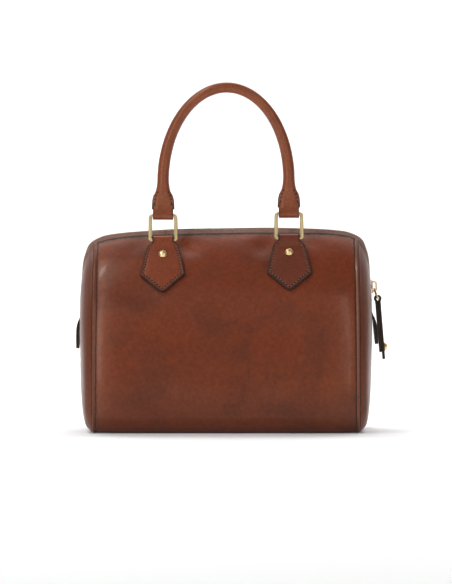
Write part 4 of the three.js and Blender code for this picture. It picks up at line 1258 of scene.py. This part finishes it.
link_top = slider_origin + slider_down * (BRIDGE_LENGTH / 2 - BRIDGE_WIRE - LINK_WIRE)
link_top = link_top + slider_out * (plate_top + BRIDGE_ROOM / 2)
link_way, link_out = hanging(LINK_LEAN)
link_foot = PULL_WIDTH / 2 + CLEARANCE + LINK_WIRE / 2
link_shoulder = LINK_REACH - PULL_EYE - PULL_FOLD - 2 * CLEARANCE
link_side = [(0, LINK_WIRE / 2 - LINK_HEAD), (link_shoulder, -link_foot), (LINK_REACH, -link_foot)]
link_corners = np.concatenate([link_side, np.array(link_side)[::-1] * [1, -1]])
link_path = rounded_corners(link_corners, 1.1 * MM)
square = np.array([(-0.5, -0.3), (-0.3, -0.5), (0.3, -0.5), (0.5, -0.3)])
square = np.concatenate([square, -square])
link_line = link_top + link_path[:, :1] * link_way + link_path[:, 1:] * REARWARD
points, faces = sweep(link_line, link_out, square * LINK_WIRE, closed=True)
dress(make_piece("slider_ring", points, faces, rivet_brass), "brass", "slider_link")
pull_top = link_top + link_way * LINK_REACH
print("pull hangs from", np.round(pull_top / MM, 1))

# %% [markdown]
# ## Straps
#
# The pull, the tabs and the handle loops are all one thing: a strap of leather folded round a metal bar.
# A strap is given as a side view, a width and a thickness at each point, and a rule that lays it in
# space: flat for the pull, along the curved wall for the tabs. Its rims are rounded and painted, and a
# shallow channel is pressed in where it is stitched.

# %% Strap helper
STRAP_COLUMNS = np.array([0, 0.08, 0.2, 0.38, 0.7, 1.3, 2.1, 2.5, 2.9, 3.3, 3.7, 4.6]) * MM
CHANNEL_AT = 2.9 * MM
CHANNEL_DEPTH = 0.16 * MM
CHANNEL_WIDTH = 0.8 * MM
STRAP_ROUND = 0.42 * MM
MIDDLE_COLUMNS = 7


def strap(name, path, half, thick, lay, material, channel=0.0):
    """A folded strap; lay(across, length, height) puts its side view in space."""
    run = run_along(path)
    along = unit(np.gradient(path, axis=0))
    normal = np.stack([-along[:, 1], along[:, 0]], -1)
    cosine = np.clip(1 / np.hypot(1, np.gradient(half, run)), 0.45, 1)
    scale = np.minimum(1, 0.75 * half * cosine / STRAP_COLUMNS[-1])[:, None]
    inward = STRAP_COLUMNS * scale
    side = half[:, None] - inward / cosine[:, None]
    inner = side[:, -1:] * np.linspace(1, -1, MIDDLE_COLUMNS + 2)[1:-1]
    across = np.hstack([side, inner, -side[:, ::-1]])
    middle_edge = (half[:, None] - np.abs(inner)) * cosine[:, None]
    from_side = np.hstack([inward, middle_edge, inward[:, ::-1]])
    from_end = np.minimum(run, run[-1] - run)[:, None]
    edge = np.minimum(from_side, from_end)
    groove = np.exp(-((from_side - CHANNEL_AT) / CHANNEL_WIDTH) ** 2)
    pressed = np.asarray(channel)[..., None] * CHANNEL_DEPTH * groove
    body = np.broadcast_to(np.asarray(thick, float), half.shape)[:, None] / 2
    fall = rounding(edge, STRAP_ROUND)

    def layer(offset):
        length = path[:, :1] + normal[:, :1] * offset
        height = path[:, 1:] + normal[:, 1:] * offset
        return lay(across, length, height)

    return leather_sheet(name, layer(body - fall - pressed), layer(fall - body), edge, material)


def fold_path(reach_low, low, radius, high, reach_high, settle, step=0.45 * MM):
    """Side view of a strap folded round a bar at the origin: in at one level, round, and out at another."""
    turn = np.linspace(-math.pi / 2, -3 * math.pi / 2, 40)
    bend = np.stack([radius * np.cos(turn), radius * np.sin(turn)], -1)
    ease = np.linspace(0, 1, 14)[1:, None]
    lead_in = np.column_stack([settle * (1 - ease), low + (-radius - low) * smoothstep(ease)])
    lead_out = np.column_stack([settle * ease, radius + (high - radius) * smoothstep(ease)])
    start, end = [[reach_low, low], [settle, low]], [[reach_high, high]]
    return even_path(np.concatenate([start, lead_in, bend[1:-1], lead_out, end]), step)


def plane_lay(origin, x, y, z):
    """Rule that lays a strap in a plane: across it, along it and out of it."""
    def lay(across, length, height):
        return origin + across[..., None] * x + length[..., None] * y + height[..., None] * z
    return lay


# %% Pull
PULL_LENGTH = 59 * MM
PULL_THICK = 5.2 * MM
PULL_LAP = 7 * MM
PULL_LEAN = 0.08
PULL_GAP = 0.06 * MM  # between its two layers
PULL_SETTLE = 3.2 * MM  # below the link, where the layers meet
pull_way, pull_out = hanging(PULL_LEAN)
layer_thick = (PULL_THICK - PULL_GAP) / 2
level = (layer_thick + PULL_GAP) / 2
fold_radius = PULL_EYE + PULL_FOLD / 2
pull_path = fold_path(PULL_LENGTH - PULL_LAP, -level, fold_radius, level, PULL_LENGTH, PULL_SETTLE)
pull_thick = np.interp(pull_path[:, 0], [0, PULL_SETTLE], [PULL_FOLD, layer_thick])
tip = np.minimum(PULL_LENGTH - pull_path[:, 0], PULL_WIDTH / 2)
tip = np.where(pull_path[:, 1] < 0, np.minimum(PULL_LENGTH - PULL_LAP - pull_path[:, 0], PULL_WIDTH / 2), tip)
pull_half = np.sqrt(np.maximum(0.02, 1 - (1 - tip / (PULL_WIDTH / 2)) ** 2)) * PULL_WIDTH / 2


lay = plane_lay(pull_top, REARWARD, pull_way, pull_out)
piece = strap("pull_leather", pull_path, pull_half, pull_thick, lay, leathers["pull leather"])
dress(piece, "trim_leather", "pull_strap")

# %% [markdown]
# ## Handle tabs
#
# Each tab is one house-shaped strap folded in half round the lower bar of its ring, so two layers lie on
# the wall. Its side view follows the wall instead of a flat plane, which keeps it seated on the curve
# at any size. The outline is a short table of widths, with the corners eased.

# %% Tab sizes
TAB_X = 60.2 * MM
TAB_SEAT = 16 * MM
TAB_LENGTH = 59 * MM
LAYER = 1.5 * MM
RING_WIRE = 3.8 * MM
loop_radius = RING_WIRE / 2 + 2 * CLEARANCE
loop_outer = loop_radius + LAYER
tab_top = CLEARANCE + 2 * LAYER  # of the upper layer over the wall
# Outline of a tab: distance down from the ring's bar and width, both in mm.
TAB_OUTLINE = np.array([
    (-9, 20.4), (4.9, 20.4), (5.5, 22.6), (6.4, 26), (8, 29), (10.5, 31.3), (41, 42.6), (60.6, 0),
]) * MM
EASE = 1.5 * MM
TIP_ROUND = 1.8 * MM
fine_down = np.arange(-12, 62, 0.1) * MM
fine_half = np.interp(fine_down, *TAB_OUTLINE.T) / 2
kernel = np.hanning(round(2 * EASE / (0.1 * MM)) + 1)
fine_half = np.convolve(np.pad(fine_half, len(kernel) // 2, "edge"), kernel / kernel.sum(), "valid")


def tab_half(down):
    """Half width of a tab; its tip is rounded off."""
    half = np.interp(down, fine_down, fine_half)
    left = np.clip((TAB_LENGTH - down) / TIP_ROUND, 0, 1)
    return half * np.sqrt(np.maximum(0.003, 1 - (1 - left) ** 2))


def wall_lay(face, x):
    """Rule that lays a strap on the wall, with the ring's bar at its origin."""
    def lay(across, length, height):
        lift = height + CLEARANCE + loop_outer
        return along_profile(x + across, face, TAB_SEAT + np.broadcast_to(length, lift.shape), lift)[0]
    return lay


# %% Tabs
bar_level = CLEARANCE + loop_outer
TAB_SETTLE = 13 * MM
tab_path = fold_path(TAB_LENGTH - 0.1 * MM, CLEARANCE + LAYER / 2 - bar_level, loop_radius + LAYER / 2,
                     CLEARANCE + 1.5 * LAYER - bar_level, TAB_LENGTH, TAB_SETTLE)
upper_layer = np.arange(len(tab_path)) > np.argmin(tab_path[:, 0])
tab_channel = upper_layer * smoothstep((tab_path[:, 0] - 7 * MM) / (2 * MM))
tab_thick = LAYER - 0.04 * MM
half = np.where(tab_path[:, 0] > 0, tab_half(tab_path[:, 0]), fine_half[0])
for face, side, corner in CORNERS:
    # Painted light and shade: the left tabs take the lighter copy of the tab leather, the right ones the
    # darker.
    skin = leathers["tab leather lit left" if side < 0 else "tab leather shaded right"]
    lay = wall_lay(face, side * TAB_X)
    piece = strap("tab_leather_" + corner, tab_path, half, tab_thick, lay, skin, tab_channel)
    dress(piece, "trim_leather", "tab_" + corner)
print("a tab:", len(piece.data.polygons), "faces")

# %% [markdown]
# ## Stitches
#
# Saddle stitches are short lengths of waxed thread that dive into slanted holes. At this size the shade
# in the holes shows more than the thread does. So each stitch is a low capsule between two small dark
# ovals of painted shade that stand for the holes, and one helper sets a row of them along any line on
# any strap.

# %% Thread materials
def thread(name, colour):
    """Waxed thread."""
    material, tree, shader = new_material(name)
    twist = node(tree, "ShaderNodeTexWave", {
        "Vector": node(tree, "ShaderNodeTexCoord").outputs["Object"], "Scale": 900.0, "Distortion": 0.6,
    }, wave_type="BANDS", bands_direction="DIAGONAL")
    shade = blend_colours(tree, twist.outputs["Fac"], tuple(0.72 * c for c in colour) + (1,), (*colour, 1))
    tree.links.new(shade, shader.inputs["Base Color"])
    shader.inputs["Roughness"].default_value = 0.55
    return material


brown_thread = thread("brown thread", (0.2, 0.068, 0.036))
pale_thread = thread("pale thread", (0.3, 0.13, 0.075))
# Painted shade: the holes are small dark ovals on the leather, standing for the shade inside them.
hole_painted_shade, _, hole_shade_shader = new_material("stitch hole painted shade")
hole_shade_shader.inputs["Base Color"].default_value = (0.016, 0.008, 0.006, 1)
hole_shade_shader.inputs["Roughness"].default_value = 0.9

# %% Stitch helper
STITCH_PITCH = 3.35 * MM
STITCH_LENGTH = 1.5 * MM
THREAD_RADIUS = 0.34 * MM
HOLE_HALF = (1.05 * MM, 0.74 * MM)
STITCH_SIDES = 8


def capsule(length, radius):
    """Rings of a capsule along X."""
    turn = np.linspace(0.15, math.pi - 0.15, 7)
    ends = np.sign(np.cos(turn)) * (length / 2 - radius) + radius * np.cos(turn)
    around = np.arange(STITCH_SIDES) / STITCH_SIDES * 2 * math.pi
    rings = [[(x, radius * math.sin(t) * math.cos(a), radius * math.sin(t) * math.sin(a)) for a in around]
             for x, t in zip(ends, turn)]
    return np.array(rings).reshape(-1, 3), bar_faces(len(turn), STITCH_SIDES)


def dome_disc(half_long, half_wide, height):
    """A low oval dome, for the painted shade in a hole's mouth."""
    around = np.arange(12) / 12 * 2 * math.pi
    rings = []
    for share, up in ((1, -1), (0.96, 0), (0.7, 0.7), (0.25, 1)):
        rings.append(np.stack([half_long * share * np.cos(around), half_wide * share * np.sin(around),
                               np.full(12, up * height)], -1))
    return np.concatenate(rings), bar_faces(len(rings), 12)


def stitch_row(name, line, ways, material, slot, lean=0.0):
    """Thread, and dark ovals of painted shade for its holes, along a line of points; ways are the ways out of
    the leather.
    """
    run = run_along(line)
    count = max(1, round(run[-1] / STITCH_PITCH))
    places = np.linspace(0, run[-1], count + 1)
    threads, hole_shades = [], []
    for parts, spots, shape, rise in (
        (threads, (places[:-1] + places[1:]) / 2, capsule(STITCH_LENGTH, THREAD_RADIUS), -0.02 * MM),
        (hole_shades, places, dome_disc(*HOLE_HALF, 0.1 * MM), 0.05 * MM),
    ):
        for spot in spots:
            point, out = at_run(spot, run, line), unit(at_run(spot, run, ways))
            before, after = at_run([spot - 0.3 * MM, spot + 0.3 * MM], run, line)
            along = unit(after - before)
            side = np.cross(out, along)
            turned = along * math.cos(lean) + side * math.sin(lean)
            side = side * math.cos(lean) - along * math.sin(lean)
            parts.append((set_in(point + out * rise, turned, side, out, shape[0]), shape[1]))
    made = []
    for kind, parts, skin in (("thread", threads, material), ("hole_shades", hole_shades, hole_painted_shade)):
        piece = make_piece(f"{name}_{kind}", *merge(*parts), skin)
        made.append(dress(piece, slot))
    return made


# %% Stitches round the tabs
STITCH_SLANT = 0.12
POINT_RISE = 0.88  # how far the row runs on to the point, as a share of its last distance from the middle


def inset_line(half_at, start, end, inset):
    """Right side of an outline moved in, as places across and down."""
    down = np.linspace(start, end, 240)
    half = half_at(down)
    way = unit(np.stack([np.gradient(half), np.gradient(down)], -1))
    line = np.stack([half - way[:, 1] * inset, down + way[:, 0] * inset], -1)
    return line[(line[:, 0] > 0) & (np.gradient(line[:, 1]) > -0.01 * MM)]


right = inset_line(tab_half, 6.2 * MM, TAB_LENGTH - 0.4 * MM, CHANNEL_AT)
point_down = right[-1, 1] + right[-1, 0] * POINT_RISE
right = even_path(np.vstack([right, [0, point_down]]), 0.3 * MM)
tab_stitches = np.concatenate([right * [-1, 1], right[-2::-1]])
height = np.interp(tab_stitches[:, 1], tab_path[upper_layer, 0], tab_path[upper_layer, 1]) + LAYER / 2
lift = height + bar_level - CHANNEL_DEPTH
for face, side, corner in CORNERS:
    line, ways = along_profile(side * TAB_X + tab_stitches[:, 0], face, TAB_SEAT + tab_stitches[:, 1], lift)
    colour = brown_thread if side < 0 else pale_thread
    stitch_row("tab_" + corner, line, ways, colour, "trim_leather", STITCH_SLANT)
print("stitches round a tab:", round(run_along(line)[-1] / STITCH_PITCH))

# %% [markdown]
# ## Rings
#
# The rings are cast in one piece, with a flat bar whose rims are bevelled, so each side bar shows a light
# line, a gold band and a light line again. The bar is swept round a rectangle with soft corners, and it
# is a little thinner at the top.

# %% Rings
RING_THICK = 3.4 * MM
RING_PITCH = 23.4 * MM
RING_BEVEL = 0.85 * MM
NECK = 20 * MM
RING_CORNER = 2.5 * MM
RING_WIDTHS = (1.06, 0.86)  # of the bar at its lower and upper end, as shares of its width


def ring_section():
    """A bar section with bevelled rims, each corner slightly rounded."""
    w, t, b, r = RING_WIRE / 2, RING_THICK / 2, RING_BEVEL, 0.16 * MM
    half = np.array([(w, -t + b), (w, t - b), (w - b, t), (-w + b, t)])
    return rounded_corners(np.concatenate([half, -half]), r, steps=2)


def ring_seat(face, side):
    """Middle of a ring's lower bar."""
    return along_profile(side * TAB_X, face, TAB_SEAT, bar_level)[0]


# %% [markdown]
# ## Handles
#
# The front handle stands up in its rings and the back one has fallen over and hangs down the back wall.
# Both are the same roll of leather, so one route in the plane of the handle serves both: a standing
# handle maps it to the plane over the rings, a hanging one to a line down the wall. The hanging line
# keeps clear of the tab, its rivet and then the wall.

# %% Handle route
HANDLE_RISE = 145 * MM
HANDLE_SHOULDER = 56 * MM
STUD_HEIGHT = 2.9 * MM
LEG_RADIUS = 5.6 * MM
CROWN_RADIUS = 5 * MM
LIE = np.array([
    (0, CLEARANCE + loop_outer),
    (RING_PITCH - loop_outer, 3 * CLEARANCE + 2 * LAYER + STUD_HEIGHT + loop_outer),
    (RING_PITCH + loop_outer, 3 * CLEARANCE + 2 * LAYER + STUD_HEIGHT + loop_outer),
    (0.7 * TAB_LENGTH, 3 * CLEARANCE + 2 * LAYER + LEG_RADIUS),
    (TAB_LENGTH, 3 * CLEARANCE + 2 * LAYER + LEG_RADIUS),
    (1.4 * TAB_LENGTH, 2 * CLEARANCE + LEG_RADIUS),
    (1.2 * HANDLE_RISE, 2 * CLEARANCE + CROWN_RADIUS),
])
lie_lift = smooth_table(LIE[:, 0], LIE[:, 1])
hang_down = np.linspace(0, 1.2 * HANDLE_RISE, 200)


def handle_place(face, x, rise):
    """Point, way up the handle and way out at a place along the bag and a rise from the rings' bars."""
    if face < 0:
        left, right = ring_seat(face, -1), ring_seat(face, 1)
        point = left + (right - left) * (x / TAB_X + 1) / 2 + [0, 0, rise]
        return point, np.array([0.0, 0, 1]), np.array([0.0, -1, 0])
    line = along_profile(np.full(200, x), face, TAB_SEAT + hang_down, lie_lift(hang_down))[0]
    point, before, after = at_run([rise, rise - MM, rise + MM], run_along(line), line)
    up = unit(after - before)
    return point, up, unit(np.cross(ALONG, up))


ring_reach = NECK / 2 + CLEARANCE + RING_WIRE / 2
ring_frame = [(-ring_reach, 0), (ring_reach, 0), (ring_reach, RING_PITCH), (-ring_reach, RING_PITCH)]
ring_frame = rounded_corners(ring_frame, RING_CORNER, steps=10)
ring_widths = RING_WIDTHS[0] + (RING_WIDTHS[1] - RING_WIDTHS[0]) * ring_frame[:, 1] / RING_PITCH
ring_sections = ring_section()[None] * np.stack([ring_widths, np.ones(len(ring_widths))], -1)[:, None]
for face, side, corner in CORNERS:
    seat = ring_seat(face, side)
    up = unit(handle_place(face, side * TAB_X, RING_PITCH)[0] - seat)
    line = seat + ring_frame[:, :1] * ALONG + ring_frame[:, 1:] * up
    points, faces = sweep(line, np.cross(ALONG, up), ring_sections, closed=True)
    piece = make_piece("ring_metal_" + corner, points, faces, ring_brass, sharp=math.radians(28))
    dress(piece, "brass", "ring_" + corner)

# %% Handle section
FLAP_DROP = 6 * MM
FLAP_LENGTH = 27 * MM
FLAP_HALF = 10.9 * MM
FLAP_THICK = 3.2 * MM
RIM_THICK = 1.6 * MM
CORE = 0.66  # of the half width, where the roll meets its flat margins
# Flared end of a handle: shares of its length, and of the change from the flat end to the round leg.
FLARE = np.array([
    (0, 0, 0), (0.28, 0.07, 0.15), (0.46, 0.26, 0.4), (0.64, 0.7, 0.75), (0.82, 0.9, 0.95), (1, 1, 1),
])
flare_width = smooth_table(FLARE[:, 0], FLARE[:, 1])
flare_round = smooth_table(FLARE[:, 0], FLARE[:, 2])
SHARP_ROLL = math.radians(60)
HANDLE_SIDES = 56
around = np.arange(HANDLE_SIDES) / HANDLE_SIDES * 2 * math.pi
across_share = np.sign(np.cos(around)) * (1 - (1 - np.abs(np.cos(around))) ** 1.15)


def handle_section(rise):
    """Section of the roll: flat with margins at its end, round above."""
    up = np.clip((rise - RING_PITCH - FLAP_DROP) / FLAP_LENGTH, 0, 1)
    climb = (rise - HANDLE_SHOULDER) / (HANDLE_RISE - HANDLE_SHOULDER)
    radius = LEG_RADIUS + (CROWN_RADIUS - LEG_RADIUS) * smoothstep(climb)
    turned = float(flare_round(up))
    wide = FLAP_HALF + (radius - FLAP_HALF) * float(flare_width(up))
    u = np.abs(across_share)
    core = RIM_THICK + (FLAP_THICK - RIM_THICK) * smoothstep((CORE + 0.2 - u) / 0.42)
    rim = np.sqrt(np.clip(1 - (np.clip(u - 0.93, 0, 1) / 0.07) ** 2, 0, 1))
    flat = core * rim
    round_high = radius * np.abs(np.sin(around))
    high = flat * (1 - turned) + round_high * turned
    x = (across_share * (1 - turned) + np.cos(around) * turned) * wide
    return np.stack([x, np.sign(np.sin(around) + 1e-9) * high], -1), wide


# %% Handle route points
turns = np.linspace(0, math.pi, 121)
arch_route = np.stack([-TAB_X * np.cos(turns),
                       HANDLE_SHOULDER + (HANDLE_RISE - HANDLE_SHOULDER) * np.sin(turns)], -1)
leg_rises = np.linspace(RING_PITCH + FLAP_DROP, HANDLE_SHOULDER, 38)[:-1]
leg_route = np.stack([np.full(len(leg_rises), -TAB_X), leg_rises], -1)
handle_route = np.concatenate([leg_route, arch_route, leg_route[::-1] * [-1, 1]])


def handle_roll(name, face):
    """One rolled handle, with its flared ends."""
    places = [handle_place(face, x, rise) for x, rise in handle_route]
    line = np.array([place[0] for place in places])
    outs = np.array([place[2] for place in places])
    sections, edges = [], []
    for x, rise in handle_route:
        section, wide = handle_section(rise)
        sections.append(section)
        rim = wide - np.abs(section[:, 0])
        rolled = smoothstep((rise - RING_PITCH - FLAP_DROP - 0.55 * FLAP_LENGTH) / (0.25 * FLAP_LENGTH))
        edges.append(rim + rolled * 20 * MM)
    points, faces = sweep(line, outs, sections)
    marks = {"edge": np.array(edges)}
    return make_piece(name, points, faces, leathers["handle leather"], marks, SHARP_ROLL)


for face, way in WALLS:
    piece = handle_roll("handle_roll_" + way, face)
    dress(piece, "handle_leather", "handle_" + way)
    print(piece.name, len(piece.data.polygons), "faces")

# %% [markdown]
# The roll doesn't go round the ring itself. A short strap is folded round the ring's upper bar and
# caught between the two flat layers of the handle's end, where the rows of stitches down its margins hold it.

# %% Handle loops
LOOP_HALF = NECK / 2 - CLEARANCE
LOOP_TUCK = 5 * MM  # how far the strap runs up into the handle
LOOP_SETTLE = 4 * MM
level = loop_radius - LAYER / 2
loop_reach = FLAP_DROP + LOOP_TUCK
loop_path = fold_path(loop_reach, -level, loop_radius + LAYER / 2, level, loop_reach, LOOP_SETTLE)
loop_half = np.full(len(loop_path), LOOP_HALF)


for face, side, corner in CORNERS:
    bar, up, out = handle_place(face, side * TAB_X, RING_PITCH)
    lay = plane_lay(bar, ALONG, up, out)
    piece = strap("handle_loop_" + corner, loop_path, loop_half, LAYER, lay, leathers["handle leather"])
    dress(piece, "handle_leather")

# %% Handle stitches
HANDLE_INSET = 2.6 * MM
STITCHED = (0.09, 0.6)  # part of the flared end that is stitched
PROBE = 0.2 * MM
for face, side, corner in CORNERS:
    for edge_side in (-1, 1):
        line, ways = [], []
        for up_share in np.linspace(*STITCHED, 30):
            rise = RING_PITCH + FLAP_DROP + up_share * FLAP_LENGTH
            bar, _, out = handle_place(face, side * TAB_X, rise)
            section, wide = handle_section(rise)
            top = section[section[:, 1] > 0]
            top = top[np.argsort(top[:, 0])]
            x = wide - HANDLE_INSET
            high = np.interp([x, x - PROBE], *top.T)
            line.append(bar + edge_side * x * ALONG + out * high[0])
            ways.append(unit(out + edge_side * (high[1] - high[0]) / PROBE * ALONG))
        row = f"handle_{corner}_{'outer' if edge_side == side else 'inner'}"
        stitch_row(row, np.array(line), np.array(ways), brown_thread, "handle_leather")

# %% [markdown]
# ## Rivets and zip ends
#
# A rivet is a turned piece, so its profile is spun round its axis: a thin rim, a small step and a dome.
# The dark caps on the free ends of the zip are two layers of leather with a pointed end, seen edge on
# from the front.

# %% Rivets
STUD_RADIUS = 4.1 * MM
# Profile of a rivet's head: shares of its radius and of its height.
RIVET = np.array([
    (0.97, 0), (1, 0.05), (1, 0.16), (0.96, 0.22), (0.88, 0.3), (0.86, 0.42), (0.8, 0.58),
    (0.7, 0.72), (0.56, 0.84), (0.4, 0.93), (0.2, 0.985), (0.05, 1),
])
SPIN = 40


def rivet(name, origin, out, slot_node):
    """A domed rivet head standing on a surface."""
    side = unit(np.cross(out, [0.0, 0.3, 1.0]))
    other = np.cross(out, side)
    turn = np.arange(SPIN) / SPIN * 2 * math.pi
    circle = np.cos(turn)[:, None] * side + np.sin(turn)[:, None] * other
    turned = RIVET * [STUD_RADIUS, STUD_HEIGHT]
    points = origin + turned[:, None, :1] * circle + turned[:, None, 1:] * out
    piece = make_piece(name, points, bar_faces(len(turned), SPIN), rivet_brass, sharp=math.radians(50))
    return dress(piece, "brass", slot_node)


STUD_DROP = 18 * MM
for face, side, corner in CORNERS:
    origin, out = along_profile(side * TAB_X, face, TAB_SEAT + STUD_DROP, tab_top + CLEARANCE)
    rivet("rivet_" + corner, origin, out, "stud_" + corner)
pull_stud_at = pull_top + pull_way * (PULL_LENGTH - 12 * MM) + pull_out * (PULL_THICK / 2 + CLEARANCE)
rivet("rivet_pull", pull_stud_at, pull_out, "pull_stud")

# %% Zip caps
CAP_LENGTH = 24 * MM
CAP_THICK = 3.2 * MM
CAP_WIDTH = 22 * MM
CAP_POINT = 7 * MM
CAP_TIP = 3.3 * MM
CAP_LEAN = {-1: 0.02, 1: 0.09}
CAP_SKIVE = 0.6  # share of its thickness that is pared away at the fold
CAP_SKIVE_LENGTH = 16 * MM
CAP_TUCK = 1.6 * MM  # how far the fold dips into the open end of the slot
for side, hand in ENDS:
    height = seam_top(side) - SLOT_DEPTH + SLOT_TAIL
    lean = CAP_LEAN[side]
    out = np.array([side * math.cos(lean), 0, math.sin(lean)])
    down = np.array([side * math.sin(lean), 0, -math.cos(lean)])
    start = np.array([side * float(dome_x(side, 0.0, height)), 0, height]) + out * (CLEARANCE + CAP_THICK / 2)
    length = SLOT_TAIL + CAP_LENGTH
    path = fold_path(length, -CAP_THICK / 4, CAP_THICK / 4 + 0.1 * MM, CAP_THICK / 4, length, 2 * MM)
    path = path + [CAP_THICK / 2 + 0.1 * MM, 0]
    places = [0, length - CAP_POINT, length + CAP_THICK]
    half = np.interp(path[:, 0], places, [CAP_WIDTH / 2, CAP_WIDTH / 2, CAP_TIP / 2])

    def lay_cap(across, along, height):
        thin = 1 - CAP_SKIVE * (1 - smoothstep(along / CAP_SKIVE_LENGTH))
        height = (height + CAP_THICK / 2) * thin - CAP_THICK / 2
        height = height - CAP_TUCK * (1 - smoothstep(along / (SLOT_TAIL + 3 * MM)))
        return plane_lay(start, REARWARD, down, out)(across, along, height)

    piece = strap("zip_end_" + hand, path, half, CAP_THICK / 2 - 0.1 * MM, lay_cap, leathers["cap leather"])
    dress(piece, "dark_leather", "zip_tab_" + hand)

# %% Paper material
paper, _, paper_shader = new_material("white paper")
paper_shader.inputs["Base Color"].default_value = (0.88, 0.88, 0.88, 1)
paper_shader.inputs["Roughness"].default_value = 0.9
paper_shader.inputs["Emission Color"].default_value = (1, 1, 1, 1)
paper_shader.inputs["Emission Strength"].default_value = 0.04
floor.data.materials.append(paper)
